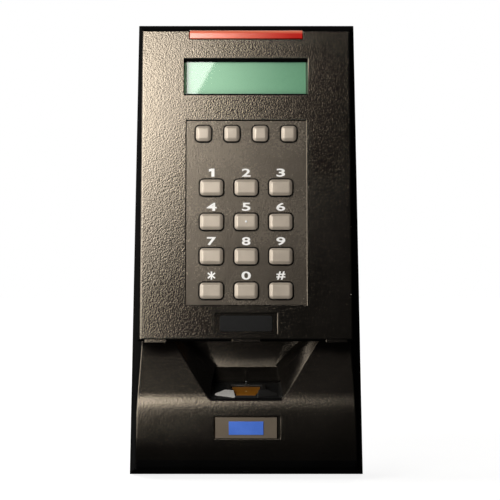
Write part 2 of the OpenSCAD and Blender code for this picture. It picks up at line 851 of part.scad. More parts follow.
// the throat's side profile, its back moved in by grow
module throat_profile(grow) {
    low = floor_z(mouth_front) - facet_h;
    facet_lap = 0.3;
    mouth_lap = 1;
    polygon([
        [facet_low[0] - grow, facet_low[1] + grow + facet_lap], [facet_low[0] - grow, facet_low[1]],
        [relief_t - grow, relief_z], [relief_t - grow, low], [mouth_front, low],
        [mouth_front, mouth_low_z + grow + mouth_lap]]);
}

module throat_section() {
    h = 2 * facet_h;
    translate([-throat_hw, throat_r]) square([throat_w, h - throat_r]);
    translate([-throat_hw + throat_r, 0]) square([throat_w - 2 * throat_r, h]);
    for (i = sides) translate([i * (throat_hw - throat_r), throat_r]) circle(throat_r);
}

module pocket_space() {
    pocket_funnel(0, ceiling_z);
    intersection() {
        floor_frame() union() {
            slab(-2 * lip_rise, throat_l + cut) throat_section();
            slab(lip_band, throat_l + cut)
                translate([-throat_hw, -rest_t]) square([throat_w, rest_t + throat_r]);
        }
        across(far) throat_profile(0);
    }
}

module pocket_walls() {
    pocket_funnel(pocket_t, chin_top_z - shell_t / 2);
    intersection() {
        floor_frame() slab(0, throat_l + pocket_t)
            translate([-throat_hw - pocket_t, -rest_t - ledge_t])
            square([throat_w + 2 * pocket_t, 2 * facet_h]);
        across(far) throat_profile(pocket_t);
    }
}

module lower_cover() {
    color(charcoal) difference() {
        union() {
            difference() {
                chin_solid(0, seam_t);
                chin_solid(shell_t, seam_t - cut);
            }
            intersection() {
                chin_solid(0, seam_t - pocket_t);
                pocket_walls();
            }
            intersection() {
                chin_solid(shell_t / 2, seam_t);
                for (i = [0, 1], j = sides) let(p = chin_post(i))
                    rod(j * p[0], p[1], seam_t, chin_depth, post_r);
            }
        }
        pocket_space();
        for (i = [0, 1], j = sides) let(p = chin_post(i))
            rod(j * p[0], p[1], seam_t - cut, chin_front_t(p[1]) - post_tip_gap, screw_r + bore_fit);
        floor_frame() {
            translate([0, 0, -rest_t - ledge_t - cut]) linear_extrude(ledge_t + 2 * cut)
                polygon(die_outline(bore_fit));
            for (i = sides) translate([i * sensor_screw_x, sensor_screw_v, sensor_board_z - cut])
                cylinder(h = ledge_t + cut - ledge_roof, r = small_r + bore_fit);
        }
        plate_frame() slab(-cut, plate_sunk + plate_thick) translate([plate_shift, 0])
            square([plate_w + 2 * plate_groove, plate_h + plate_groove], center = true);
    }
}

module finger_rest() {
    rib_w = 0.8;
    rib_h = 1.8;
    rib_v = (bezel_back_v + rest_end - rib_w) / 2;
    edge_in = 0.5;
    edge_h = throat_r - edge_in;
    color(black) floor_frame() {
        difference() {
            slab(lip_band + fit, rest_end) difference() {
                translate([-throat_hw + fit, -rest_t]) square([throat_w - 2 * fit, rest_t + edge_h]);
                throat_section();
            }
            translate([0, 0, -rest_t - cut]) linear_extrude(rest_t + 2 * cut)
                polygon(die_outline(gasket_w + bore_fit));
        }
        translate([-rib_w / 2, rib_v, -rest_t / 2]) cube([rib_w, rib_w, rest_t / 2 + rib_h]);
    }
}

module sensor_die() {
    color([0.45, 0.28, 0.12]) floor_frame() translate([0, 0, sensor_board_z])
        linear_extrude(die_proud - sensor_board_z) polygon(die_outline(0));
}

module sensor_gasket() {
    h = rest_t + die_proud - bore_fit;
    color(black) floor_frame() translate([0, 0, -rest_t]) linear_extrude(h) difference() {
        polygon(die_outline(gasket_w));
        polygon(die_outline(bore_fit / 2));
    }
}

// a metal frame that is highest beside the die's front corners and slopes to the front in two wings
module sensor_bezel() {
    ridge_out = 0.8;
    ridge_l = 3;
    wing_l = 3.5;
    wing_back = 0.3;
    ridge_back = 0.5;
    low_h = 0.4;
    hole = gasket_w + bore_fit;
    wing = throat_hw - throat_r - fit;
    frame = die_w / 2 + gasket_w + bezel_rim;
    front_v = lip_band + fit;
    ridge_v = front_v + ridge_l;
    ridge_h = bezel_t + bezel_rise;
    a = [die_outline(hole)[1][0], front_v, low_h];
    b = [die_w / 2 + gasket_w + ridge_out, ridge_v, ridge_h];
    c = [wing, front_v + wing_l, low_h];
    color(steel) floor_frame() difference() {
        intersection() {
            linear_extrude(ridge_h) polygon([
                [-wing, front_v], [wing, front_v], [wing, c[1] + wing_back], [frame, ridge_v + ridge_back],
                [frame, bezel_back_v], [-frame, bezel_back_v], [-frame, ridge_v + ridge_back],
                [-wing, c[1] + wing_back]]);
            rotate([90, 0, 90]) linear_extrude(far, center = true) polygon([
                [0, -cut], [0, ridge_h], [ridge_v, ridge_h], [bezel_back_v + cut, bezel_t],
                [bezel_back_v + cut, -cut]]);
            between_planes(cross(c - a, b - a), a);
        }
        translate([0, 0, -cut]) linear_extrude(ridge_h + 2 * cut) polygon(die_outline(hole));
    }
}

module sensor_board() {
    color(board_green) floor_frame() translate([0, 0, sensor_board_z - board_t])
        linear_extrude(board_t) difference() {
        translate([-sensor_board_w / 2, sensor_board_v]) square([sensor_board_w, sensor_board_l]);
        for (i = sides) translate([i * sensor_screw_x, sensor_screw_v]) circle(small_r + bore_fit);
    }
}

module sensor_screws() {
    color(steel) floor_frame() for (i = sides)
        translate([i * sensor_screw_x, sensor_screw_v, sensor_board_z - board_t]) difference() {
            union() {
                cylinder(h = board_t + ledge_t - ledge_roof - sensor_screw_tip, r = small_r);
                translate([0, 0, -small_head_h]) cylinder(h = small_head_h, r = small_head_r);
            }
            translate([0, 0, -small_head_h - cut]) cylinder(h = cut + small_socket_d, r = small_r, $fn = 6);
        }
}

// badges

module badge_upper() {
    w = badge_w - 4 * inlay_margin;
    h = badge_h - 2 * inlay_margin;
    color(black) face_frame() translate([0, 0, badge_s]) slab(badge_recess - inlay_t, badge_recess)
        round_rect(w, h, inlay_margin);
}

module badge_lower() {
    color([0.24, 0.24, 0.24]) plate_frame() slab(plate_sunk, plate_sunk + plate_thick)
        square([plate_w, plate_h], center = true);
}

module badge_label() {
    color([0.15, 0.35, 0.80]) plate_frame() slab(plate_sunk - label_t, plate_sunk)
        square([label_w, label_h], center = true);
}

// light bar and display

module light_bar() {
    top = bar_h + bar_proud;
    color([0.80, 0.12, 0.06]) face_frame() translate([0, 0, bar_s]) {
        rotate([0, -90, 0]) linear_extrude(bar_w, center = true) polygon([
            [0, -bar_front], [top - bar_bevel, -bar_front], [top, bar_bevel - bar_front],
            [top, cover_t], [0, cover_t]]);
        slab(cover_t, cover_t + bar_flange_t) {
            translate([-bar_w / 2 - bar_flange, -2 * bar_flange])
                square([bar_w + 2 * bar_flange, 2 * bar_flange - fit]);
            translate([-bar_w / 2, -bar_flange]) square([bar_w, bar_flange + bar_lip]);
        }
    }
}

module display_window() {
    color([0.75, 0.85, 0.78]) face_frame() translate([0, 0, lcd_s]) slab(cover_t, cover_t + window_t)
        square([lcd_w + 2 * lcd_lap, lcd_h + 2 * lcd_lap], center = true);
}

module display_cell() {
    color([0.60, 0.78, 0.62]) face_frame() translate([0, 0, lcd_s])
        slab(cover_t + window_t, cover_t + window_t + cell_t)
        square([lcd_w + 2 * lcd_lap - 2 * fit, lcd_h + 2 * lcd_lap - 2 * fit], center = true);
}

module backlight() {
    color([0.92, 0.94, 0.92]) face_frame() translate([0, 0, lcd_s])
        slab(cover_t + window_t + cell_t, front_board_d)
        square([lcd_w + 2 * lcd_lap - 2 * fit, lcd_h + 2 * lcd_lap - 2 * fit], center = true);
}

module display_frame() {
    frame = 2 * lcd_lap + 2 * lcd_frame_t;
    color(steel) face_frame() translate([0, 0, lcd_s]) slab(cover_t + window_t, front_board_d) difference() {
        square([lcd_w + frame, lcd_h + frame], center = true);
        square([lcd_w + 2 * lcd_lap, lcd_h + 2 * lcd_lap], center = true);
    }
}

// front board

module front_board_outline() {
    translate([-front_board_w / 2, front_board_low])
        square([front_board_w, front_board_top - front_board_low]);
}

module front_board() {
    color(board_green) difference() {
        face_frame() slab(front_board_d, front_board_back) difference() {
            front_board_outline();
            for (i = sides, s = front_board_hole_s)
                translate([i * front_board_hole_x, s]) circle(small_r + bore_fit);
        }
        for (i = [0, 1], j = sides) let(p = cover_post(i))
            rod(j * p[0], p[1], 0, chin_depth, post_r + 2 * fit);
    }
}

module front_board_screws() {
    tip = cover_bore_d + front_tip_gap;
    color(steel) face_frame() for (i = sides, s = front_board_hole_s)
        translate([i * front_board_hole_x, front_board_back, s]) rotate([90, 0, 0]) difference() {
            union() {
                cylinder(h = front_board_back - tip, r = small_r);
                translate([0, 0, -small_head_h]) cylinder(h = small_head_h, r = small_head_r);
            }
            translate([0, 0, -small_head_h - cut]) cylinder(h = cut + small_socket_d, r = small_r, $fn = 6);
        }
}

module antenna_coil() {
    turns = 4;
    step = 1.6;
    coil_in = 3;
    coil_w = front_board_w - 4 * small_post_r - 2 * coil_in;
    coil_h = panel_h;
    color([0.72, 0.45, 0.20]) face_frame() slab(front_board_back, front_board_back + coil_t)
        translate([0, panel_s]) for (i = [0:turns - 1]) difference() {
            square([coil_w - 2 * i * step, coil_h - 2 * i * step], center = true);
            square([coil_w - 2 * i * step - step, coil_h - 2 * i * step - step], center = true);
        }
}

module status_leds() {
    color([0.95, 0.85, 0.80]) face_frame() for (i = [0:led_count - 1])
        translate([(i - (led_count - 1) / 2) * bar_w / led_count - led_size[0] / 2,
            front_board_d - led_size[1], front_board_top - led_size[2] - led_in]) cube(led_size);
}

// main board

module main_board() {
    color(board_green) difference() {
        off_wall(main_board_back, main_board_front) difference() {
            translate([-main_w / 2, main_low_z]) square([main_w, main_h]);
            for (i = sides, z = main_hole_z) translate([i * main_hole_x, z]) circle(small_r + bore_fit);
        }
        for (i = [0, 1], j = sides) {
            p = cover_post(i);
            rod(j * p[0], p[1], 0, chin_depth, post_r + 2 * fit);
            q = chin_post(i);
            rod(j * q[0], q[1], 0, chin_depth, post_r + 2 * fit);
        }
    }
}

module main_board_screws() {
    color(steel) for (i = sides, z = main_hole_z) translate([i * main_hole_x, -main_board_front, z])
        rotate([-90, 0, 0]) difference() {
            union() {
                cylinder(h = board_t + post_h, r = small_r);
                translate([0, 0, -small_head_h]) cylinder(h = small_head_h, r = small_head_r);
            }
            translate([0, 0, -small_head_h - cut]) cylinder(h = cut + small_socket_d, r = small_r, $fn = 6);
        }
}

module board_chips() {
    color([0.13, 0.13, 0.14]) for (chip = [processor, memory, regulator])
        off_wall(main_board_front, main_board_front + chip[4])
        translate([chip[0], main_top_z - chip[1]]) square([chip[2], chip[3]], center = true);
}

module buzzer() {
    front = main_board_front + buzzer_h;
    color(black) difference() {
        rod(buzzer_x, main_top_z - buzzer_drop, main_board_front, front, buzzer_r);
        rod(buzzer_x, main_top_z - buzzer_drop, front - buzzer_h / 2, front + cut, buzzer_vent_r);
    }
}

function terminal_x(i) = (i - (terminal_count - 1) / 2) * terminal_w / terminal_count;

module terminal_block() {
    color([0.12, 0.40, 0.20]) difference() {
        off_wall(terminal_back_t, main_board_back) translate([0, terminal_z])
            square([terminal_w, terminal_h], center = true);
        for (i = [0:terminal_count - 1])
            rod(terminal_x(i), terminal_screw_z, terminal_back_t - cut, terminal_back_t + terminal_bore,
                terminal_screw_r + bore_fit);
    }
}

module terminal_screws() {
    head_t = terminal_back_t + terminal_sink;
    color(steel) for (i = [0:terminal_count - 1]) difference() {
        rod(terminal_x(i), terminal_screw_z, head_t, terminal_back_t + terminal_bore, terminal_screw_r);
        off_wall(terminal_back_t, head_t + terminal_slot) translate([terminal_x(i), terminal_screw_z])
            square([terminal_slot, 2 * terminal_screw_r + cut], center = true);
    }
}

module tamper_sensor() {
    color(black) off_wall(tamper_back_t, main_board_back) translate([0, tamper_z])
        square([tamper_w, tamper_h], center = true);
}

// ribbons

module board_ribbon() {
    low_z = main_top_z - 2 * ribbon_pad;
    pad_s = face_s(front_board_back, main_top_z + ribbon_pad);
    color([0.85, 0.80, 0.60]) across(ribbon_w) polygon([
        [main_board_front, low_z], [main_board_front, low_z + ribbon_pad],
        face_pt(front_board_back + ribbon_t, pad_s), face_pt(front_board_back + ribbon_t, pad_s + ribbon_pad),
        face_pt(front_board_back, pad_s + ribbon_pad), face_pt(front_board_back, pad_s),
        [main_board_front + ribbon_t, low_z + ribbon_pad], [main_board_front + ribbon_t, low_z]]);
}

function floor_pt(v, h) = [
    lip_t - v * cos(floor_slope) + h * sin(floor_slope), lip_z + v * sin(floor_slope) + h * cos(floor_slope)];

module sensor_ribbon() {
    under = sensor_board_z - board_t;
    end_v = sensor_board_v + sensor_board_l;
    bend_z = floor_pt(end_v, under)[1] - ribbon_drop;
    color([0.85, 0.80, 0.60]) across(die_w) polygon([
        floor_pt(end_v - ribbon_pad, under), floor_pt(end_v, under),
        [main_board_front, bend_z], [main_board_front, bend_z - ribbon_pad],
        [main_board_front + ribbon_t, bend_z - ribbon_pad], [main_board_front + ribbon_t, bend_z - ribbon_t],
        floor_pt(end_v, under - ribbon_t), floor_pt(end_v - ribbon_pad, under - ribbon_t)]);
}

// wall plate and outer screws

module security_hole() {
    z = bottom_z(tab_hole_t, 0);
    translate([0, -tab_hole_t, z - cut]) cylinder(h = shell_t + 3 * cut, r = security_r + bore_fit);
    translate([0, -tab_hole_t, z - 2 * cut])
        cylinder(h = 2 * cut + security_sink, r = security_head_r + bore_fit);
}

module wall_plate() {
    color(steel) difference() {
        union() {
            wall_space(shell_t + 2 * fit, 0, wall_plate_t);
            for (i = sides) translate([i * hook_x, 0, hook_z]) {
                off_wall(wall_plate_t / 2, housing_floor_t + hook_gap + hook_t)
                    square([hook_w, hook_t], center = true);
                off_wall(housing_floor_t + hook_gap, housing_floor_t + hook_gap + hook_t)
                    translate([-hook_w / 2, -hook_t / 2]) square([hook_w, hook_t + hook_lip]);
            }
            off_wall(wall_plate_t / 2, tab_front_t) translate([0, tab_z])
                square([tab_w, tab_t], center = true);
        }
        off_wall(-cut, wall_plate_t + cut) round_rect(cable_w, cable_h, cable_r);
        for (i = sides) rod(0, i * wall_screw_gap / 2, -cut, wall_plate_t + cut, wall_hole_d / 2);
        translate([0, -tab_hole_t, tab_z - tab_t]) cylinder(h = 2 * tab_t, r = security_r + bore_fit);
    }
}

module security_screw() {
    seat = bottom_z(tab_hole_t, 0) + security_sink;
    color(steel) translate([0, -tab_hole_t, seat]) difference() {
        union() {
            cylinder(h = tab_z + tab_t / 2 - seat, r = security_r);
            translate([0, 0, -security_head_h]) cylinder(h = security_head_h, r = security_head_r);
        }
        translate([0, 0, -security_head_h - cut])
            cylinder(h = cut + security_socket_d, r = security_r, $fn = 6);
    }
}

module cover_screws() {
    color(steel) for (i = [0, 1], j = sides) {
        p = cover_post(i);
        l = face_t_at(cover_t, p[1]) - back_wall_t - cover_screw_tip;
        screw(j * p[0], p[1], back_wall_t, l, screw_r, screw_head_r, screw_head_h);
    }
}

module lower_cover_screws() {
    color(steel) for (i = [0, 1], j = sides) {
        p = chin_post(i);
        l = chin_front_t(chin_post_z[0]) - post_tip_gap - chin_screw_tip - back_wall_t;
        screw(j * p[0], p[1], back_wall_t, l, screw_r, screw_head_r, screw_head_h);
    }
}

wall_plate();
rear_housing();
front_cover();
lower_cover();
finger_rest();
light_bar();
key_panel();
badge_upper();
badge_lower();
badge_label();
display_window();
display_cell();
display_frame();
backlight();
key_mat();
key_domes();
front_board();
antenna_coil();
status_leds();
main_board();
board_chips();
buzzer();
terminal_block();
terminal_screws();
tamper_sensor();
board_ribbon();
sensor_die();
sensor_bezel();
sensor_gasket();
sensor_board();
sensor_ribbon();
cover_seal();
cover_screws();
lower_cover_screws();
front_board_screws();
main_board_screws();
sensor_screws();
security_screw();
for (i = [0:soft_keys - 1]) soft_key(i);
for (i = [0:len(KEY_NODES) - 1]) number_key(i);
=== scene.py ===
"""Looks of a wall card reader with a key pad, a display, a light bar and a finger sensor in its chin."""

import json
import logging
import math
from collections.abc import Callable, Iterable, Iterator
from contextlib import contextmanager
from dataclasses import dataclass, field, replace
from enum import Enum

import bmesh
import bpy
from mathutils import Matrix, Vector
from mathutils.bvhtree import BVHTree


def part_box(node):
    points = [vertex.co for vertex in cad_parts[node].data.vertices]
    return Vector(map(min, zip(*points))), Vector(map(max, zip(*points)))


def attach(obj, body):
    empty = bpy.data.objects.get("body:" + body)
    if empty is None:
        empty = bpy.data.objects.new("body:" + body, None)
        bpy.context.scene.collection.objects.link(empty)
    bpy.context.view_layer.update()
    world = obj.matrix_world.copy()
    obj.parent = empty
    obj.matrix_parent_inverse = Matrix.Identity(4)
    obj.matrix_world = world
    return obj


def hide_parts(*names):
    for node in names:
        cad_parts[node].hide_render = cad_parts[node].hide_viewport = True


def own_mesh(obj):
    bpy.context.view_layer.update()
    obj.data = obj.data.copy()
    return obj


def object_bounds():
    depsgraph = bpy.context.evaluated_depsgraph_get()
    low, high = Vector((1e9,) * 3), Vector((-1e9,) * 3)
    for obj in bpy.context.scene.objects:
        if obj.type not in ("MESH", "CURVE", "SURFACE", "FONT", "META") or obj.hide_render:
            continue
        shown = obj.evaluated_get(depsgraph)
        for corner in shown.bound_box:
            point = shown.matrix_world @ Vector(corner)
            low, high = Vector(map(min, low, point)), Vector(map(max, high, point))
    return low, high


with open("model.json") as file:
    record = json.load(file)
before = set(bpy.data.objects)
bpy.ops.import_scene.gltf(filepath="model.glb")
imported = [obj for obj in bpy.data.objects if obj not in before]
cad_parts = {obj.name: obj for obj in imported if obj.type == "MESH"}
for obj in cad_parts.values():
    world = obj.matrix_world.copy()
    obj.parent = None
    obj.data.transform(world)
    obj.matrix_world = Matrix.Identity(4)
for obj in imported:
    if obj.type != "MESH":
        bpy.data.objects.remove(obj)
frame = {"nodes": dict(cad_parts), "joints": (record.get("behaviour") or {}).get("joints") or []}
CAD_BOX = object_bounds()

logging.basicConfig(level=logging.INFO, format="%(name)s: %(message)s")
LOG = logging.getLogger("reader")

MM = 0.001
READER = "reader"
MERGE = 0.001
FLAT = math.radians(0.5)
Colour = tuple[float, float, float]
WHITE: Colour = (1.0, 1.0, 1.0)
EdgeTest = Callable[[bmesh.types.BMEdge], bool]

FRONT = Vector((0, -1, 0))
BACK = Vector((0, 1, 0))
LEFT = Vector((-1, 0, 0))
RIGHT = Vector((1, 0, 0))
ABOVE = Vector((0, 0, 1))
BELOW = Vector((0, 0, -1))
ALL_ROUND = (FRONT, BACK, LEFT, RIGHT, ABOVE, BELOW)


class Grain(Enum):
    """The small relief of a surface, by the node group that makes it."""

    PEBBLE = "moulded_grain"
    BRUSHED = "brushed_streaks"


class SlopedFace:
    """The reader's sloped face as a frame in millimetres: x across, y up the face, z out of it."""

    def __init__(self) -> None:
        """Take the slope from the keys' travel and the place from the front cover."""
        inward = Vector(frame["joints"][0]["axis"])
        self.out = -inward
        self.up = Vector((0, -inward.z, inward.y))
        plane = max(v.co.dot(self.out) for v in frame["nodes"]["front_cover"].data.vertices) / MM
        turn = Matrix((Vector((1, 0, 0)), self.up, self.out)).transposed()
        self.matrix = Matrix.Translation(self.out * plane) @ turn.to_4x4()
        self.inverse = self.matrix.inverted()

    def box(self, node: str) -> tuple[Vector, Vector]:
        """Measure a CAD node in this frame.

        Args:
            node: The node's name.

        Returns:
            Its lowest and highest corners along the face.
        """
        points = [self.inverse @ (v.co / MM) for v in frame["nodes"][node].data.vertices]
        low = Vector([min(p[i] for p in points) for i in range(3)])
        high = Vector([max(p[i] for p in points) for i in range(3)])
        return low, high


FACE = SlopedFace()


# Shared mesh work. Pieces are modelled in millimetres, and settle brings them to the frame's metres.

def take(obj: bpy.types.Object) -> None:
    """Make one object the only selected and active one.

    Args:
        obj: The object.
    """
    bpy.ops.object.select_all(action="DESELECT")
    obj.select_set(True)
    bpy.context.view_layer.objects.active = obj


def add_piece(add: Callable[..., object], name: str, **values: object) -> bpy.types.Object:
    """Add a primitive or a text with nothing else selected.

    Args:
        add: The operator that adds it.
        name: The new piece's name.
        **values: The operator's values by name.

    Returns:
        The new piece.
    """
    bpy.ops.object.select_all(action="DESELECT")
    add(**values)
    obj = bpy.context.object
    obj.name = name
    return obj


@contextmanager
def editing(obj: bpy.types.Object) -> Iterator[bmesh.types.BMesh]:
    """Open a piece in edit mode with nothing selected, and close it again.

    Args:
        obj: The piece.

    Returns:
        Its mesh as it stands when edit mode opens.
    """
    take(obj)
    bpy.ops.object.mode_set(mode="EDIT")
    bpy.ops.mesh.select_mode(type="EDGE")
    bpy.ops.mesh.select_all(action="DESELECT")
    yield bmesh.from_edit_mesh(obj.data)
    bpy.ops.object.mode_set(mode="OBJECT")


def pick(obj: bpy.types.Object, edges: Iterable[bmesh.types.BMEdge]) -> int:
    """Select edges of the piece that is open in edit mode.

    Args:
        obj: The piece.
        edges: The edges to select.

    Returns:
        How many were selected.
    """
    count = 0
    for edge in edges:
        edge.select_set(True)
        count += 1
    bmesh.update_edit_mesh(obj.data)
    return count


def outer_edges(
    mesh: bmesh.types.BMesh, views: Iterable[Vector], least: float = math.radians(25)
) -> list[bmesh.types.BMEdge]:
    """Find the sharp outward edges that can be seen from outside.

    Args:
        mesh: The open mesh.
        views: Directions from the piece towards the viewer.
        least: The smallest angle between two faces that counts as sharp.

    Returns:
        The edges.
    """
    lift = 0.05
    tree = BVHTree.FromBMesh(mesh)
    found = []
    for edge in mesh.edges:
        if len(edge.link_faces) != 2 or not edge.is_convex or edge.calc_face_angle() < least:
            continue
        away = (edge.link_faces[0].normal + edge.link_faces[1].normal).normalized()
        start = (edge.verts[0].co + edge.verts[1].co) / 2 + lift * away
        if any(away.dot(view) > 0 and tree.ray_cast(start, view)[0] is None for view in views):
            found.append(edge)
    return found


def extrude(x: float, y: float, z: float) -> None:
    """Extrude what is selected by a way in millimetres."""
    bpy.ops.mesh.extrude_region_move(TRANSFORM_OT_translate={"value": (x, y, z)})


def bevel_selected(width: float, segments: int) -> None:
    """Round the selected edges by width, in millimetres."""
    bpy.ops.mesh.bevel(
        affect="EDGES", offset_type="OFFSET", offset=width, segments=segments, profile=0.5,
        clamp_overlap=False)


def round_edges(
    obj: bpy.types.Object, width: float, views: Iterable[Vector], segments: int,
    wanted: EdgeTest | None = None
) -> None:
    """Round a piece's outward edges.

    Args:
        obj: The piece.
        width: The rounding's width in millimetres.
        views: Directions from which a rounded edge can be seen.
        segments: Faces across the rounding.
        wanted: A test that each rounded edge passes, or none.
    """
    with editing(obj) as mesh:
        edges = outer_edges(mesh, views)
        if pick(obj, [e for e in edges if wanted is None or wanted(e)]):
            bevel_selected(width, segments)


def fill_faces(obj: bpy.types.Object) -> None:
    """Split faces that are hollow, bent or of many sides, so that every program fills them alike.

    Args:
        obj: The piece.
    """
    small = 0.2
    bend = math.radians(5)
    with editing(obj) as mesh:
        bpy.ops.mesh.select_mode(type="FACE")
        for face in mesh.faces:
            face.select_set(len(face.verts) == 4 and face.calc_area() < small)
        bmesh.update_edit_mesh(obj.data)
        bpy.ops.mesh.vert_connect_concave()
        bpy.ops.mesh.vert_connect_nonplanar(angle_limit=bend)
        bpy.ops.mesh.select_all(action="DESELECT")
        bpy.ops.mesh.select_face_by_sides(number=4, type="GREATER")
        bpy.ops.mesh.quads_convert_to_tris(quad_method="BEAUTY", ngon_method="BEAUTY")


def smooth(obj: bpy.types.Object, angle: float) -> None:
    """Shade a piece smooth below an angle in degrees, with flat faces kept flat.

    Args:
        obj: The piece.
        angle: The angle in degrees.
    """
    take(obj)
    bpy.ops.object.shade_smooth_by_angle(angle=math.radians(angle))
    modifier = obj.modifiers.new("flat_faces", "WEIGHTED_NORMAL")
    modifier.keep_sharp = True
    bpy.ops.object.modifier_apply(modifier=modifier.name)


def copy_node(node: str, name: str) -> bpy.types.Object:
    """Copy a CAD node's shape as a clean mesh of whole faces, in millimetres.

    Args:
        node: The node's name.
        name: The new piece's name.

    Returns:
        The new piece.
    """
    mesh = frame["nodes"][node].data.copy()
    mesh.materials.clear()
    mesh.transform(Matrix.Scale(1 / MM, 4))
    mesh.name = name
    obj = bpy.data.objects.new(name, mesh)
    bpy.context.scene.collection.objects.link(obj)
    with editing(obj):
        bpy.ops.mesh.select_all(action="SELECT")
        bpy.ops.mesh.remove_doubles(threshold=MERGE)
        bpy.ops.mesh.dissolve_limited(angle_limit=FLAT)
    return obj


def twin(obj: bpy.types.Object, name: str) -> bpy.types.Object:
    """Copy a piece with a mesh of its own under a new name.

    Args:
        obj: The piece.
        name: The copy's name.

    Returns:
        The copy.
    """
    copy = obj.copy()
    copy.data = obj.data.copy()
    copy.name = name
    copy.data.name = name
    bpy.context.scene.collection.objects.link(copy)
    return copy


def settle(
    obj: bpy.types.Object, finish: "Finish", nodes: tuple[str, ...] = (), body: str = READER,
    angle: float = 32
) -> bpy.types.Object:
    """Bring a modelled piece to metres, dress it and join it to its body.

    Args:
        obj: The piece, in place and in millimetres.
        finish: Its finish, unless its mesh already has materials.
        nodes: CAD nodes that it stands for.
        body: The CAD body that it moves with.
        angle: The angle in degrees below which it is shaded smooth.

    Returns:
        The same piece.
    """
    fill_faces(obj)
    smooth(obj, angle)
    obj.data.transform(Matrix.Scale(MM, 4))
    if not obj.data.materials:
        obj.data.materials.append(finish.material())
    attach(obj, body)
    if nodes:
        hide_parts(*nodes)
    LOG.info("%s rides on %s, %d faces", obj.name, body, len(obj.data.polygons))
    return obj


def soften(
    node: str, name: str, finish: "Finish", slot: str, edge: float, views: Iterable[Vector],
    segments: int = 2
) -> None:
    """Put a copy with softened edges in the place of a CAD node.

    Args:
        node: The node's name.
        name: The new piece's name.
        finish: Its finish.
        slot: The record's material slot, not used.
        edge: The width of the softened edges in millimetres.
        views: Directions from which they can be seen.
        segments: Faces across each of them.
    """
    obj = copy_node(node, name)
    round_edges(obj, edge, views, segments)
    settle(obj, finish, (node,))


def dress(finish: "Finish", *nodes: str) -> None:
    """Give CAD nodes that keep their shape a finish.

    Args:
        finish: The finish.
        *nodes: The nodes' names.
    """
    for node in nodes:
        mesh = frame["nodes"][node].data
        mesh.materials.clear()
        mesh.materials.append(finish.material())
        LOG.info("%s is dressed in %s", node, finish.name)


# Shader node groups

class Graph:
    """A node tree with short calls to add and join nodes."""

    def __init__(self, tree: bpy.types.NodeTree) -> None:
        """Keep the tree that nodes are added to."""
        self.tree = tree

    def add(self, kind: str, **values: object) -> bpy.types.Node:
        """Add a node and set its properties.

        Args:
            kind: The node's type without the ShaderNode prefix.
            **values: Properties by name.

        Returns:
            The node.
        """
        node = self.tree.nodes.new(kind if kind.startswith("Node") else "ShaderNode" + kind)
        for name, value in values.items():
            setattr(node, name, value)
        return node

    def feed(self, socket: bpy.types.NodeSocket, value: object) -> None:
        """Join a socket to another node's output, or set its value.

        Args:
            socket: The input socket.
            value: An output socket or a plain value.
        """
        if isinstance(value, bpy.types.NodeSocket):
            self.tree.links.new(value, socket)
        else:
            socket.default_value = value

    def math(self, operation: str, *values: object) -> bpy.types.NodeSocket:
        """Add a Math node on sockets or numbers.

        Args:
            operation: The node's operation.
            *values: Its inputs in order.

        Returns:
            Its result.
        """
        node = self.add("Math", operation=operation)
        for socket, value in zip(node.inputs, values):
            self.feed(socket, value)
        return node.outputs[0]

    def along(self, place: object, axis: str) -> bpy.types.NodeSocket:
        """Take one coordinate of a place.

        Args:
            place: The coordinates.
            axis: X, Y or Z.

        Returns:
            The coordinate along that axis.
        """
        node = self.add("SeparateXYZ")
        self.feed(node.inputs["Vector"], place)
        return node.outputs[axis]

    def between(self, value: object, low: float, high: float) -> bpy.types.NodeSocket:
        """Step a value smoothly from 0 at low to 1 at high.

        Args:
            value: The value.
            low: Where the step starts.
            high: Where it ends.

        Returns:
            The step's height.
        """
        node = self.add("MapRange", interpolation_type="SMOOTHSTEP")
        self.feed(node.inputs["Value"], value)
        node.inputs["From Min"].default_value = low
        node.inputs["From Max"].default_value = high
        return node.outputs["Result"]

    def blend(self, factor: object, first: object, second: object) -> bpy.types.NodeSocket:
        """Mix a colour from first to second by factor.

        Args:
            factor: The share of the second colour.
            first: The first colour.
            second: The second colour.

        Returns:
            The mixed colour.
        """
        node = self.add("Mix", data_type="RGBA")
        self.feed(node.inputs["Factor"], factor)
        self.feed(node.inputs["A"], first)
        self.feed(node.inputs["B"], second)
        return node.outputs["Result"]

    def noise(self, place: object, scale: object, detail: float = 2.0) -> bpy.types.NodeSocket:
        """Add a noise value at a place.

        Args:
            place: The coordinates.
            scale: The noise's scale per metre.
            detail: How many finer layers it has.

        Returns:
            The noise.
        """
        node = self.add("TexNoise")
        self.feed(node.inputs["Vector"], place)
        self.feed(node.inputs["Scale"], scale)
        node.inputs["Detail"].default_value = detail
        return node.outputs["Fac"]


def colour4(colour: Colour) -> tuple[float, float, float, float]:
    """Add an alpha of 1 to a colour."""
    return (*colour, 1.0)


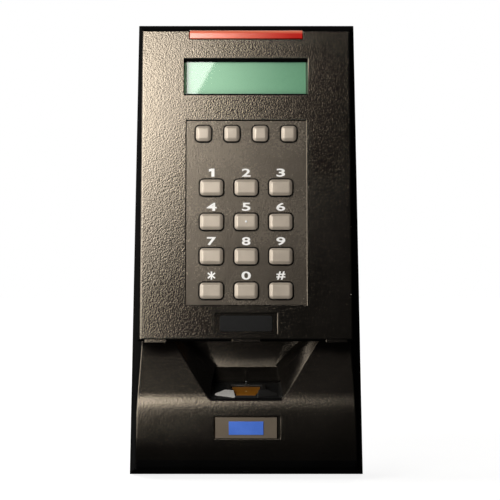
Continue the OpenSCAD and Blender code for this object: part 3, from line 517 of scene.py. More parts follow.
class Groups:
    """The shader node groups that several finishes share, each built once."""

    made: dict[str, bpy.types.NodeTree] = {}

    @classmethod
    def open(
        cls, name: str, inputs: dict[str, str], outputs: dict[str, str]
    ) -> tuple[bpy.types.NodeTree, Graph, bpy.types.Node, bpy.types.Node]:
        """Start a group with named sockets.

        Args:
            name: The group's name.
            inputs: Socket types by input name.
            outputs: Socket types by output name.

        Returns:
            The tree, its graph, and its input and output nodes.
        """
        tree = bpy.data.node_groups.new(name, "ShaderNodeTree")
        for label, kind in inputs.items():
            tree.interface.new_socket(label, in_out="INPUT", socket_type="NodeSocket" + kind)
        for label, kind in outputs.items():
            tree.interface.new_socket(label, in_out="OUTPUT", socket_type="NodeSocket" + kind)
        graph = Graph(tree)
        return tree, graph, graph.add("NodeGroupInput"), graph.add("NodeGroupOutput")

    @classmethod
    def get(cls, name: str) -> bpy.types.NodeTree:
        """Find a group by name, and build it at its first use.

        Args:
            name: The group's name, which is also its method's.

        Returns:
            The group's tree.
        """
        if name not in cls.made:
            cls.made[name] = getattr(cls, name)()
        return cls.made[name]

    @classmethod
    def moulded_grain(cls) -> bpy.types.NodeTree:
        """Build irregular pebbles with fine noise between them, as a height.

        Returns:
            The group's tree.
        """
        finer, fine_share, broad_share = 2.3, 0.45, 0.9
        tree, graph, start, end = cls.open(
            "moulded_grain", {"Place": "Vector", "Scale": "Float"}, {"Height": "Float"})
        place, scale = start.outputs["Place"], start.outputs["Scale"]
        broad = graph.noise(place, scale, 1.5)
        fine = graph.noise(place, graph.math("MULTIPLY", scale, finer), 2.0)
        mixed = graph.math("MULTIPLY_ADD", fine, fine_share, graph.math("MULTIPLY", broad, broad_share))
        graph.feed(end.inputs["Height"], mixed)
        return tree

    @classmethod
    def tone_drift(cls) -> bpy.types.NodeTree:
        """Build a slow drift between two tones with small flecks in it, as a colour.

        Returns:
            The group's tree.
        """
        finer, fleck_share, low, high = 24.0, 0.35, 0.3, 0.7
        tree, graph, start, end = cls.open(
            "tone_drift",
            {"Place": "Vector", "Scale": "Float", "Deep": "Color", "Light": "Color"},
            {"Color": "Color", "Drift": "Float"})
        place, scale = start.outputs["Place"], start.outputs["Scale"]
        slow = graph.math("MULTIPLY", graph.noise(place, scale, 3.0), 1 - fleck_share)
        fleck = graph.noise(place, graph.math("MULTIPLY", scale, finer), 1.0)
        drift = graph.between(graph.math("MULTIPLY_ADD", fleck, fleck_share, slow), low, high)
        graph.feed(end.inputs["Drift"], drift)
        graph.feed(end.inputs["Color"], graph.blend(drift, start.outputs["Deep"], start.outputs["Light"]))
        return tree

    @classmethod
    def dust_specks(cls) -> bpy.types.NodeTree:
        """Build sparse tiny specks of dust, as a mask.

        Returns:
            The group's tree.
        """
        rarity = 0.8
        tree, graph, start, end = cls.open(
            "dust_specks", {"Place": "Vector", "Scale": "Float", "Size": "Float"}, {"Mask": "Float"})
        cells = graph.add("TexVoronoi")
        graph.feed(cells.inputs["Vector"], start.outputs["Place"])
        graph.feed(cells.inputs["Scale"], start.outputs["Scale"])
        pick_some = graph.add("SeparateColor")
        graph.feed(pick_some.inputs["Color"], cells.outputs["Color"])
        near = graph.math("LESS_THAN", cells.outputs["Distance"], start.outputs["Size"])
        some = graph.math("GREATER_THAN", pick_some.outputs["Red"], rarity)
        graph.feed(end.inputs["Mask"], graph.math("MULTIPLY", near, some))
        return tree

    @classmethod
    def brushed_streaks(cls) -> bpy.types.NodeTree:
        """Build fine streaks along x, as a height.

        Returns:
            The group's tree.
        """
        squeeze = 0.03
        tree, graph, start, end = cls.open(
            "brushed_streaks", {"Place": "Vector", "Scale": "Float"}, {"Height": "Float"})
        stretch = graph.add("Mapping")
        stretch.inputs["Scale"].default_value = (squeeze, 1.0, 1.0)
        graph.feed(stretch.inputs["Vector"], start.outputs["Place"])
        graph.feed(end.inputs["Height"], graph.noise(stretch.outputs["Vector"], start.outputs["Scale"], 3.0))
        return tree

    @classmethod
    def copper_tracks(cls) -> bpy.types.NodeTree:
        """Build the faint tracks and pads under a board's solder mask, as a mask.

        Returns:
            The group's tree.
        """
        tree, graph, start, end = cls.open(
            "copper_tracks", {"Place": "Vector", "Scale": "Float"}, {"Mask": "Float"})
        bricks = graph.add("TexBrick", offset=0.37, squash=1.6, squash_frequency=3)
        turn = graph.add("Mapping")
        turn.inputs["Rotation"].default_value = (math.radians(90), 0, 0)
        graph.feed(turn.inputs["Vector"], start.outputs["Place"])
        graph.feed(bricks.inputs["Vector"], turn.outputs["Vector"])
        graph.feed(bricks.inputs["Scale"], start.outputs["Scale"])
        bricks.inputs["Mortar Size"].default_value = 0.035
        bricks.inputs["Mortar Smooth"].default_value = 0.2
        graph.feed(end.inputs["Mask"], bricks.outputs["Fac"])
        return tree


# Finishes

@dataclass(frozen=True)
class Finish:
    """A surface with a slow drift of tone and a fine relief.

    Colours are linear. Scales are per metre and the relief is a depth in metres.
    """

    name: str
    deep: Colour
    light: Colour
    roughness: float = 0.45
    metallic: float = 0.0
    specular: float = 0.5
    index: float = 1.5
    tint: Colour = WHITE
    drift_scale: float = 45.0
    grain: Grain = Grain.PEBBLE
    grain_scale: float = 1400.0
    relief: float = 0.02 * MM
    dust: float = 0.0
    dust_scale: float = 110.0
    dust_tone: Colour = (0.32, 0.30, 0.26)
    rough_spread: float = 0.08

    def material(self) -> bpy.types.Material:
        """Find this finish's material, and build it at its first use.

        Returns:
            The material.
        """
        name = f"{self.name}_finish"
        known = bpy.data.materials.get(name)
        if known:
            return known
        material = bpy.data.materials.new(name)
        material.use_nodes = True
        graph = Graph(material.node_tree)
        shader = material.node_tree.nodes["Principled BSDF"]
        place = graph.add("TexCoord").outputs["Object"]
        self.colour(graph, shader, place)
        self.surface(graph, shader, place)
        return material

    def group(self, graph: Graph, name: str, place: object, **values: object) -> bpy.types.Node:
        """Add one of the shared groups.

        Args:
            graph: The material's graph.
            name: The group's name.
            place: The coordinates that it reads.
            **values: Its other inputs by name.

        Returns:
            The group's node.
        """
        node = graph.add("Group", node_tree=Groups.get(name))
        graph.feed(node.inputs["Place"], place)
        for label, value in values.items():
            graph.feed(node.inputs[label], value)
        return node

    def colour(self, graph: Graph, shader: bpy.types.Node, place: object) -> None:
        """Feed the shader's colour and roughness.

        Args:
            graph: The material's graph.
            shader: The material's shader.
            place: The coordinates that it reads.
        """
        tone = self.group(
            graph, "tone_drift", place, Scale=self.drift_scale, Deep=colour4(self.deep),
            Light=colour4(self.light))
        graph.feed(shader.inputs["Base Color"], self.pattern(graph, place, tone.outputs["Color"]))
        roughness = self.roughness
        if self.rough_spread:
            roughness = graph.math("MULTIPLY_ADD", tone.outputs["Drift"], self.rough_spread, roughness)
        graph.feed(shader.inputs["Roughness"], roughness)

    def pattern(self, graph: Graph, place: object, tone: bpy.types.NodeSocket) -> bpy.types.NodeSocket:
        """Lay specks of dust on the tone, where the finish has any.

        Args:
            graph: The material's graph.
            place: The coordinates that it reads.
            tone: The plain tone's colour.

        Returns:
            The surface's colour.
        """
        if not self.dust:
            return tone
        specks = self.group(graph, "dust_specks", place, Scale=self.dust_scale, Size=self.dust)
        return graph.blend(specks.outputs["Mask"], tone, colour4(self.dust_tone))

    def surface(self, graph: Graph, shader: bpy.types.Node, place: object) -> None:
        """Set the shader's plain values and its relief.

        Args:
            graph: The material's graph.
            shader: The material's shader.
            place: The coordinates that it reads.
        """
        shader.inputs["Metallic"].default_value = self.metallic
        shader.inputs["Specular IOR Level"].default_value = self.specular
        shader.inputs["Specular Tint"].default_value = colour4(self.tint)
        shader.inputs["IOR"].default_value = self.index
        if not self.relief:
            return
        grain = self.group(graph, self.grain.value, place, Scale=self.grain_scale)
        bump = graph.add("Bump")
        bump.inputs["Strength"].default_value = 1.0
        bump.inputs["Distance"].default_value = self.relief
        graph.feed(bump.inputs["Height"], grain.outputs["Height"])
        graph.feed(shader.inputs["Normal"], bump.outputs["Normal"])


@dataclass(frozen=True)
class BoardFinish(Finish):
    """A circuit board's solder mask with the tracks that show through it."""

    track: Colour = (0.10, 0.34, 0.16)
    track_scale: float = 60.0
    rough_spread: float = 0.0

    def pattern(self, graph: Graph, place: object, tone: bpy.types.NodeSocket) -> bpy.types.NodeSocket:
        """Return the mask's tone, lighter over the tracks."""
        tracks = self.group(graph, "copper_tracks", place, Scale=self.track_scale)
        return graph.blend(tracks.outputs["Mask"], tone, colour4(self.track))


@dataclass(frozen=True)
class GlassFinish(Finish):
    """Clear window plastic that lets the light through to what lies behind it."""

    def colour(self, graph: Graph, shader: bpy.types.Node, place: object) -> None:
        """Set the glass values, and let shadow and bounce light pass straight.

        Args:
            graph: The material's graph.
            shader: The material's shader.
            place: The coordinates that it reads.
        """
        shader.inputs["Base Color"].default_value = colour4(self.light)
        shader.inputs["Roughness"].default_value = self.roughness
        shader.inputs["Transmission Weight"].default_value = 1.0
        path = graph.add("LightPath")
        soft = graph.math("MAXIMUM", path.outputs["Is Diffuse Ray"], path.outputs["Is Glossy Ray"])
        passing = graph.math("MAXIMUM", soft, path.outputs["Is Shadow Ray"])
        clear = graph.add("BsdfTransparent")
        mix = graph.add("MixShader")
        graph.feed(mix.inputs["Fac"], passing)
        graph.tree.links.new(shader.outputs["BSDF"], mix.inputs[1])
        graph.tree.links.new(clear.outputs["BSDF"], mix.inputs[2])
        output = graph.tree.nodes["Material Output"]
        graph.tree.links.new(mix.outputs["Shader"], output.inputs["Surface"])


@dataclass(frozen=True)
class BarFinish(Finish):
    """Translucent red plastic, with a painted highlight along its upper edge and painted light towards its
    left end.
    """

    # pale is the colour of the painted highlight along the top edge and of the painted light towards the
    # left end
    pale: Colour = (1.0, 0.27, 0.16)
    highlight_from: float = 0.0938
    highlight_to: float = 0.0956
    left_light_share: float = 0.8
    left_light_reach: float = 25 * MM
    rough_spread: float = 0.0

    def pattern(self, graph: Graph, place: object, tone: bpy.types.NodeSocket) -> bpy.types.NodeSocket:
        """Paint a highlight along the top edge and painted light towards the left end.

        Args:
            graph: The material's graph.
            place: The coordinates that it reads.
            tone: The plain tone's colour.

        Returns:
            The bar's colour.
        """
        # painted highlight along the top edge, and painted light that grows towards the left end
        upper = graph.between(graph.along(place, "Z"), self.highlight_from, self.highlight_to)
        leftward = graph.math("MULTIPLY", graph.along(place, "X"), -1.0)
        end = graph.between(leftward, -self.left_light_reach, self.left_light_reach)
        share = graph.math("MAXIMUM", upper, graph.math("MULTIPLY", end, self.left_light_share))
        return graph.blend(share, tone, colour4(self.pale))


@dataclass(frozen=True)
class CellFinish(Finish):
    """The display's green, with painted light making it paler at its left end, towards the lamps."""

    # pale is the colour of the painted light at the display's left end
    pale: Colour = (0.36, 0.68, 0.44)
    reach: float = 30 * MM
    rough_spread: float = 0.0

    def pattern(self, graph: Graph, place: object, tone: bpy.types.NodeSocket) -> bpy.types.NodeSocket:
        """Return a green with painted light at the left end that fades towards the right end."""
        right = graph.between(graph.along(place, "X"), -self.reach, self.reach)
        return graph.blend(right, colour4(self.pale), tone)


@dataclass(frozen=True)
class DieFinish(Finish):
    """The sensor's amber cover with a small light point in its middle."""

    spot: Colour = (0.75, 0.55, 0.25)
    spot_place: Colour = (0.0, 0.0, 0.0)
    spot_radius: float = 0.35 * MM
    spot_blur: float = 0.3
    rough_spread: float = 0.0

    def pattern(self, graph: Graph, place: object, tone: bpy.types.NodeSocket) -> bpy.types.NodeSocket:
        """Set the light point in the amber.

        Args:
            graph: The material's graph.
            place: The coordinates that it reads.
            tone: The plain tone's colour.

        Returns:
            The cover's colour.
        """
        reach = graph.add("VectorMath", operation="DISTANCE")
        graph.feed(reach.inputs[0], place)
        reach.inputs[1].default_value = self.spot_place
        inner, outer = [self.spot_radius * (1 + side * self.spot_blur) for side in (-1, 1)]
        outside = graph.between(reach.outputs["Value"], inner, outer)
        return graph.blend(outside, colour4(self.spot), tone)


GLOSS_TINT: Colour = (1.0, 0.86, 0.68)
BARE_DEEP: Colour = (0.003, 0.0027, 0.0024)
BARE_LIGHT: Colour = (0.005, 0.0045, 0.004)
COVER = Finish(
    "cover_charcoal", BARE_DEEP, BARE_LIGHT, roughness=0.12, index=2.2, tint=GLOSS_TINT,
    grain_scale=1500.0, relief=0.08 * MM, dust=0.028, rough_spread=0.04)
CHIN = replace(
    COVER, name="chin_charcoal", roughness=0.22, index=2.05, grain_scale=1450.0, relief=0.1 * MM)
# A less glossy copy of the chin's finish that makes the pocket darker: painted shade in the recess.
POCKET = replace(CHIN, name="pocket_charcoal", roughness=0.2, index=1.8, dust=0.0)
HOUSING = Finish(
    "housing_black", (0.005, 0.005, 0.005), (0.008, 0.008, 0.008), roughness=0.6, specular=0.0,
    grain_scale=1250.0, relief=0.12 * MM)
SIDE = replace(HOUSING, name="side_black", deep=(0.004, 0.004, 0.004), light=(0.006, 0.006, 0.006))
PANEL = Finish(
    "panel_charcoal", (0.044, 0.037, 0.030), (0.054, 0.046, 0.037), roughness=0.22, index=1.95,
    tint=GLOSS_TINT, grain_scale=1700.0, relief=0.06 * MM)
KEY = Finish(
    "key_grey", (0.42, 0.362, 0.294), (0.48, 0.414, 0.336), roughness=0.32, metallic=0.3,
    grain_scale=3000.0, relief=0.01 * MM, drift_scale=160.0)
# Near-black finish for the key caps' walls and flanges: painted shade for the shadowed gap round each key.
GAP_SHADE = Finish("gap_shade_black", (0.008, 0.008, 0.008), (0.013, 0.013, 0.013), roughness=0.6, specular=0.2)
LEGEND = Finish(
    "legend_white", (0.82, 0.81, 0.79), (0.88, 0.87, 0.85), roughness=0.5, relief=0.004 * MM,
    drift_scale=300.0)
INLAY = Finish(
    "badge_black", (0.006, 0.006, 0.006), (0.010, 0.010, 0.010), roughness=0.5, specular=0.12,
    relief=0.006 * MM)
PLATE = Finish(
    "badge_grey", (0.135, 0.108, 0.078), (0.155, 0.125, 0.092), roughness=0.5, specular=0.3,
    relief=0.01 * MM, drift_scale=120.0)
LABEL = Finish(
    "label_blue", (0.065, 0.175, 0.68), (0.085, 0.215, 0.78), roughness=0.35, relief=0.005 * MM,
    drift_scale=120.0)
BAR = BarFinish(
    "light_red", (0.46, 0.010, 0.006), (0.56, 0.016, 0.010), roughness=0.14, index=1.9,
    relief=0.01 * MM, drift_scale=130.0)
WINDOW = GlassFinish("window_clear", WHITE, WHITE, roughness=0.03, index=1.9, relief=0.0)
CELL = CellFinish(
    "display_green", (0.105, 0.31, 0.170), (0.120, 0.34, 0.188), roughness=0.5, specular=0.6,
    relief=0.003 * MM, drift_scale=30.0)
BACKLIGHT = Finish("backlight_white", (0.80, 0.82, 0.80), (0.88, 0.90, 0.88), roughness=0.5)
STEEL = Finish(
    "frame_steel", (0.50, 0.50, 0.49), (0.60, 0.60, 0.59), roughness=0.26, metallic=1.0,
    grain=Grain.BRUSHED, grain_scale=3500.0, relief=0.004 * MM, drift_scale=110.0)
BEZEL = replace(
    STEEL, name="bezel_steel", deep=(0.115, 0.112, 0.106), light=(0.145, 0.142, 0.135), roughness=0.34,
    relief=0.003 * MM)
SCREW = replace(
    STEEL, name="screw_steel", deep=(0.46, 0.46, 0.46), light=(0.56, 0.56, 0.57), roughness=0.3,
    grain_scale=5000.0, drift_scale=200.0)
ZINC = replace(
    STEEL, name="plate_steel", deep=(0.48, 0.49, 0.50), light=(0.62, 0.63, 0.64), roughness=0.34,
    grain_scale=1800.0, relief=0.008 * MM, drift_scale=60.0, rough_spread=0.14)
COPPER = replace(
    STEEL, name="copper", deep=(0.62, 0.30, 0.13), light=(0.75, 0.40, 0.19), roughness=0.3,
    grain_scale=4000.0, drift_scale=45.0)
SILICONE = Finish("silicone", (0.20, 0.20, 0.21), (0.27, 0.27, 0.28), roughness=0.55, relief=0.01 * MM)
RUBBER = Finish("rubber_black", (0.008, 0.008, 0.008), (0.014, 0.014, 0.014), roughness=0.6, specular=0.25)
REST = Finish(
    "rest_black", (0.006, 0.006, 0.006), (0.010, 0.010, 0.010), roughness=0.34, specular=0.4,
    relief=0.01 * MM)
AMBER = DieFinish(
    "sensor_amber", (0.17, 0.062, 0.004), (0.21, 0.080, 0.006), roughness=0.3, relief=0.004 * MM,
    drift_scale=200.0)
BOARD = BoardFinish(
    "board_green", (0.020, 0.16, 0.075), (0.030, 0.21, 0.095), roughness=0.32, relief=0.006 * MM)
CHIP = Finish("chip_black", (0.016, 0.016, 0.018), (0.026, 0.026, 0.028), roughness=0.5, relief=0.012 * MM)
TERMINAL = Finish(
    "terminal_green", (0.030, 0.24, 0.085), (0.045, 0.31, 0.11), roughness=0.4, relief=0.015 * MM)
RIBBON = Finish(
    "ribbon", (0.52, 0.40, 0.17), (0.64, 0.52, 0.27), roughness=0.35, grain=Grain.BRUSHED,
    grain_scale=900.0, relief=0.01 * MM)
LOCK = Finish("screw_black", (0.010, 0.010, 0.010), (0.018, 0.018, 0.018), roughness=0.45, specular=0.2)
LAMP = Finish("lamp_white", (0.80, 0.76, 0.70), (0.92, 0.88, 0.82), roughness=0.2, relief=0.003 * MM)


# Sub-assemblies

@dataclass
class Shells:
    """The front cover, the rear housing and the chin, with their seams and rounded edges."""

    face_edge: float = 0.6
    opening_edge: float = 0.3
    chin_edge: float = 0.8
    mouth_edge: float = 0.5
    seam_edge: float = 0.25
    face_slack: float = 0.02
    top_rim: float = 0.2
    lower_rim: float = 3
    inner_reach: float = 29
    chin_reach: float = 36
    side_turn: float = 0.55
    level_turn: float = 0.725
    slope_turn: tuple[float, float] = (-0.75, 0.45)
    pocket_reach: float = 33
    pocket_depth: float = 1.0
    strip_places: tuple[float, ...] = (-36, -17, 17, 36)

    def build(self) -> None:
        """Model and dress the three shells and the seal between them."""
        self.front()
        soften("rear_housing", "back_shell", HOUSING, "housing_black", self.seam_edge, ALL_ROUND)
        self.chin()
        dress(RUBBER, "cover_seal")
        dress(SCREW, "cover_screws", "lower_cover_screws")

    def blacken_sides(self, obj: bpy.types.Object, finish: Finish) -> None:
        """Give a shell its finish, and the walls that run back from the face a plainer black skin.

        Args:
            obj: The shell.
            finish: Its finish.
        """
        obj.data.materials.append(finish.material())
        obj.data.materials.append(SIDE.material())
        for face in obj.data.polygons:
            black = abs(face.normal.z) > self.level_turn
            if -face.normal.y < self.side_turn and abs(face.normal.x) > self.side_turn:
                black = abs(face.center.x) > self.inner_reach
            face.material_index = int(black)

    def front(self) -> None:
        """Model the front cover with rounded face edges and openings."""
        obj = copy_node("front_cover", "face_shell")
        low, high = FACE.box("front_cover")
        top = high.y - self.top_rim
        bottom = low.y + self.lower_rim

        def on_face(edge: bmesh.types.BMEdge) -> bool:
            """Tell whether an edge lies in the sloped face."""
            return all(abs((FACE.inverse @ v.co).z) < self.face_slack for v in edge.verts)

        def outline(edge: bmesh.types.BMEdge) -> bool:
            """Tell whether an edge belongs to the cover's outline.

            Args:
                edge: The edge.

            Returns:
                True at the sides, the top and the foot.
            """
            ends = [FACE.inverse @ v.co for v in edge.verts]
            wide = all(abs(p.x) > self.inner_reach for p in ends)
            return wide or all(p.y > top for p in ends) or all(p.y < bottom for p in ends)

        round_edges(obj, self.opening_edge, (FRONT,), 2, lambda e: on_face(e) and not outline(e))
        round_edges(obj, self.face_edge, (FRONT,), 4, lambda e: on_face(e) and outline(e))
        round_edges(obj, self.seam_edge, (LEFT, RIGHT, ABOVE), 2, lambda e: not on_face(e))
        self.blacken_sides(obj, COVER)
        settle(obj, COVER, ("front_cover",))

    def chin(self) -> None:
        """Model the chin with its rounded sides and pocket mouth."""
        obj = copy_node("lower_cover", "chin_shell")

        def at_side(edge: bmesh.types.BMEdge) -> bool:
            """Tell whether an edge lies at one of the chin's sides."""
            return all(abs(v.co.x) > self.chin_reach for v in edge.verts)

        round_edges(obj, self.mouth_edge, (FRONT,), 3, lambda e: not at_side(e))
        round_edges(obj, self.chin_edge, (FRONT, LEFT, RIGHT), 4, at_side)
        self.cut_strips(obj)
        self.blacken_sides(obj, CHIN)
        self.paint_pocket_shade(obj)
        settle(obj, CHIN, ("lower_cover",))

    def cut_strips(self, obj: bpy.types.Object) -> None:
        """Cut the chin's round front beside its mouth, so that the mouth doesn't bend its shading.

        Args:
            obj: The chin.
        """
        for place in self.strip_places:
            with editing(obj) as mesh:
                bpy.ops.mesh.select_mode(type="FACE")
                for face in mesh.faces:
                    face.select_set(face.normal.y < -self.side_turn)
                bmesh.update_edit_mesh(obj.data)
                bpy.ops.mesh.bisect(plane_co=(place, 0, 0), plane_no=(1, 0, 0))

    def paint_pocket_shade(self, obj: bpy.types.Object) -> None:
        """Give the pocket behind the chin's slope a less glossy copy of the chin's finish, as painted shade
        in the recess.

        Args:
            obj: The chin.
        """
        forward, up = self.slope_turn
        upward = [f for f in obj.data.polygons if f.normal.z > up and f.normal.y < forward]
        slope = max(upward, key=lambda f: f.area)
        level = slope.center.dot(slope.normal) - self.pocket_depth
        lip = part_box("finger_rest")[0][2] / MM
        obj.data.materials.append(POCKET.material())
        for face in obj.data.polygons:
            within = abs(face.center.x) < self.pocket_reach and face.center.z > lip
            if within and face.center.dot(slope.normal) < level:
                face.material_index = 2


@dataclass
class KeyPad:
    """The key panel, its legends, the sixteen keys and the spring domes under them."""

    flange: float = 0.9
    gap: float = 0.28
    corner: float = 1.9
    corner_segments: int = 7
    bevel: float = 1.2
    bevel_drop: float = 0.8
    crest: float = 0.35
    shoulder: float = 0.3
    loop_segments: int = 4
    level_slack: float = 0.01
    smooth_below: float = 50
    pip_radius: float = 0.5
    pip_height: float = 0.28
    pip_segments: int = 20
    legend_rise: float = 6.6
    legend_height: float = 3.55
    legend_thick: float = 0.03
    bold: float = 0.022
    letter_steps: int = 6
    letter_merge: float = 0.0005
    stem_width: float = 1.33
    flag_reach: tuple[float, float] = (-1.05, -0.3)
    flag_height: float = 1.1
    star_arm: float = 0.62
    star_reach: tuple[float, float] = (1.0, 0.9)
    star_rise: float = 1.3
    dome_in: float = 0.5
    dome_taper: float = 0.7
    dome_slack: float = 0.05
    dome_sides: int = 32
    dome_rim: float = 0.2
    dome_step: float = 0.05
    dome_dip: float = 0.2
    dome_round: float = 0.06
    soft_keys: tuple[str, ...] = tuple(f"soft_key_{i}" for i in range(1, 5))
    legends: dict[str, tuple[str, float]] = field(default_factory=lambda: {
        "key_1": ("1", 2.4), "key_2": ("2", 3.8), "key_3": ("3", 3.7), "key_4": ("4", 4.3),
        "key_5": ("5", 3.6), "key_6": ("6", 3.8), "key_7": ("7", 4.0), "key_8": ("8", 3.7),
        "key_9": ("9", 3.8), "key_star": ("*", 3.4), "key_0": ("0", 4.0), "key_hash": ("#", 3.8)})

    def build(self) -> None:
        """Model the caps, legends and domes, and dress what keeps its CAD shape."""
        dress(PANEL, "key_panel")
        dress(SILICONE, "key_mat")
        soft = self.cap("soft_cap", self.soft_keys[0])
        number = self.cap("number_cap", "key_1")
        for node in self.soft_keys:
            self.place_cap(soft, node)
        for node, (sign, width) in self.legends.items():
            self.place_cap(number, node)
            self.legend(node, sign, width)
        for node in (*self.soft_keys, *self.legends):
            self.dome(node)
        for master in (soft, number):
            bpy.data.objects.remove(master)

    def cap(self, name: str, node: str) -> bpy.types.Object:
        """Model one key cap about its own middle, from its flange up to its bevelled top.

        Args:
            name: The cap's name.
            node: A key of this size.

        Returns:
            The cap, with its flange's underside at zero height.
        """
        low, high = FACE.box(node)
        size = high - low
        wall = size.z - self.flange - self.bevel_drop
        obj = add_piece(bpy.ops.mesh.primitive_plane_add, name, size=1)
        with editing(obj):
            bpy.ops.mesh.select_all(action="SELECT")
            bpy.ops.transform.resize(value=(size.x, size.y, 1))
            bpy.ops.mesh.bevel(
                affect="VERTICES", offset=self.corner + self.flange, segments=self.corner_segments)
            bpy.ops.mesh.select_mode(type="FACE")
            extrude(0, 0, self.flange)
            bpy.ops.mesh.inset(thickness=self.flange + self.gap)
            extrude(0, 0, wall)
            bpy.ops.mesh.inset(thickness=self.bevel, depth=self.bevel_drop)
            bpy.ops.mesh.select_all(action="SELECT")
            bpy.ops.mesh.normals_make_consistent(inside=False)
        self.round_loop(obj, size.z, self.crest)
        self.round_loop(obj, size.z - self.bevel_drop, self.shoulder)
        self.paint_gap_shade(obj, size.z - self.bevel_drop - self.shoulder)
        return obj

    def paint_gap_shade(self, obj: bpy.types.Object, level: float) -> None:
        """Paint a cap above one height, and give its wall and flange below a near-black finish as painted
        shade for the dark gap round the key.

        Args:
            obj: The cap.
            level: The height in millimetres.
        """
        obj.data.materials.append(KEY.material())
        obj.data.materials.append(GAP_SHADE.material())
        for face in obj.data.polygons:
            face.material_index = int(face.center.z < level)

    def round_loop(self, obj: bpy.types.Object, height: float, width: float) -> None:
        """Round the sharp loop of edges at one height.

        Args:
            obj: The piece.
            height: The loop's height in millimetres.
            width: The rounding's width in millimetres.
        """
        sharp = math.radians(15)
        with editing(obj) as mesh:
            near = self.level_slack
            level = [e for e in mesh.edges if all(abs(v.co.z - height) < near for v in e.verts)]
            pick(obj, [e for e in level if e.calc_face_angle() > sharp])
            bevel_selected(width, self.loop_segments)

    def place_cap(self, cap: bpy.types.Object, node: str) -> None:
        """Copy a cap onto its key's place on the face.

        Args:
            cap: The cap to copy.
            node: The key's node.
        """
        low, high = FACE.box(node)
        obj = twin(cap, f"{node}_cap")
        middle = (low + high) / 2
        if node == "key_5":
            self.add_pip(obj, high.z - low.z)
        obj.data.transform(FACE.matrix @ Matrix.Translation((middle.x, middle.y, low.z)))
        settle(obj, KEY, (node,), node, self.smooth_below)

    def add_pip(self, obj: bpy.types.Object, top: float) -> None:
        """Add the small raised point that a finger feels on the middle key.

        Args:
            obj: The cap.
            top: The height of its top in millimetres.
        """
        pip = add_piece(
            bpy.ops.mesh.primitive_uv_sphere_add, "pip", segments=self.pip_segments,
            ring_count=self.pip_segments // 2, radius=self.pip_radius)
        with editing(pip):
            bpy.ops.mesh.select_all(action="SELECT")
            bpy.ops.transform.resize(value=(1, 1, self.pip_height / self.pip_radius))
            bpy.ops.mesh.bisect(plane_co=(0, 0, 0), plane_no=(0, 0, 1), clear_inner=True, use_fill=True)
        pip.data.transform(Matrix.Translation((0, 0, top)))
        take(obj)
        pip.select_set(True)
        bpy.ops.object.join()

    def legend(self, node: str, sign: str, width: float) -> None:
        """Print a sign on the panel above its key.

        Args:
            node: The key's node.
            sign: The sign.
            width: Its width in millimetres.
        """
        low, high = FACE.box(node)
        middle = (low + high) / 2
        panel_top = FACE.box("key_panel")[1].z
        name = f"legend_{node.removeprefix('key_')}"
        drawn = {"1": self.flag_stem, "*": self.six_arms}
        obj = drawn[sign](name) if sign in drawn else self.lettered(name, sign)
        obj.data.name = name
        ends = [[f(v.co[i] for v in obj.data.vertices) for f in (min, max)] for i in range(3)]
        sizes = (width, self.legend_height, self.legend_thick)
        scale = [size / (end[1] - end[0]) for size, end in zip(sizes, ends)]
        centre = Vector([(end[0] + end[1]) / 2 for end in ends])
        height = panel_top + self.legend_thick / 2
        place = Matrix.Translation((middle.x, middle.y + self.legend_rise, height))
        resize = Matrix.Diagonal((*scale, 1)) @ Matrix.Translation(-centre)
        obj.data.transform(FACE.matrix @ place @ resize)
        settle(obj, LEGEND)

    def lettered(self, name: str, sign: str) -> bpy.types.Object:
        """Make a bold sign from a letter or digit.

        Args:
            name: The sign's name.
            sign: The sign.

        Returns:
            The sign as a thin solid about the origin.
        """
        text = add_piece(bpy.ops.object.text_add, name).data
        text.body = sign
        text.offset = self.bold
        text.resolution_u = self.letter_steps
        bpy.ops.object.convert(target="MESH")
        obj = bpy.context.object
        with editing(obj):
            bpy.ops.mesh.select_all(action="SELECT")
            bpy.ops.mesh.remove_doubles(threshold=self.letter_merge)
        return self.thicken(obj)

    def thicken(self, obj: bpy.types.Object) -> bpy.types.Object:
        """Raise a flat sign into a thin solid.

        Args:
            obj: The flat sign.

        Returns:
            The same sign.
        """
        with editing(obj):
            bpy.ops.mesh.select_all(action="SELECT")
            extrude(0, 0, self.legend_thick)
            bpy.ops.mesh.select_all(action="SELECT")
            bpy.ops.mesh.normals_make_consistent(inside=False)
        return obj

    def flag_stem(self, name: str) -> bpy.types.Object:
        """Make the sign for one: a straight stem with a short flag on its left.

        Args:
            name: The sign's name.

        Returns:
            The sign as a thin solid about the origin.
        """
        obj = add_piece(bpy.ops.mesh.primitive_plane_add, name, size=1)
        with editing(obj):
            bpy.ops.mesh.select_all(action="SELECT")
            bpy.ops.transform.resize(value=(self.stem_width, self.legend_height, 1))
            flag_low = self.legend_height / 2 - self.flag_height
            bpy.ops.mesh.bisect(plane_co=(0, flag_low, 0), plane_no=(0, 1, 0))
            bpy.ops.mesh.select_all(action="DESELECT")
            mesh = bmesh.from_edit_mesh(obj.data)
            least = flag_low - self.level_slack
            pick(obj, [e for e in mesh.edges if all(v.co.x < 0 and v.co.y > least for v in e.verts)])
            extrude(*self.flag_reach, 0)
        return self.thicken(obj)

    def six_arms(self, name: str) -> bpy.types.Object:
        """Make the star sign: an upright bar and two slanted ones that cross in its middle.

        Args:
            name: The sign's name.

        Returns:
            The sign as a thin solid about the origin.
        """
        arms = 6
        half = math.pi / arms
        obj = add_piece(
            bpy.ops.mesh.primitive_circle_add, name, vertices=arms, radius=self.star_arm, fill_type="NGON",
            rotation=(0, 0, half))
        bpy.ops.object.transform_apply(rotation=True)
        for turn in range(arms):
            with editing(obj) as mesh:
                angle = half + 2 * half * turn
                way = Vector((math.cos(angle), math.sin(angle), 0))
                rim = 2 * way * self.star_arm * math.cos(half)
                pick(obj, [min(mesh.edges, key=lambda e: (e.verts[0].co + e.verts[1].co - rim).length)])
                upright = abs(way.x) < math.sin(half)
                wide, high = (0, self.star_rise) if upright else self.star_reach
                extrude(math.copysign(wide, way.x), math.copysign(high, way.y), 0)
        return self.thicken(obj)

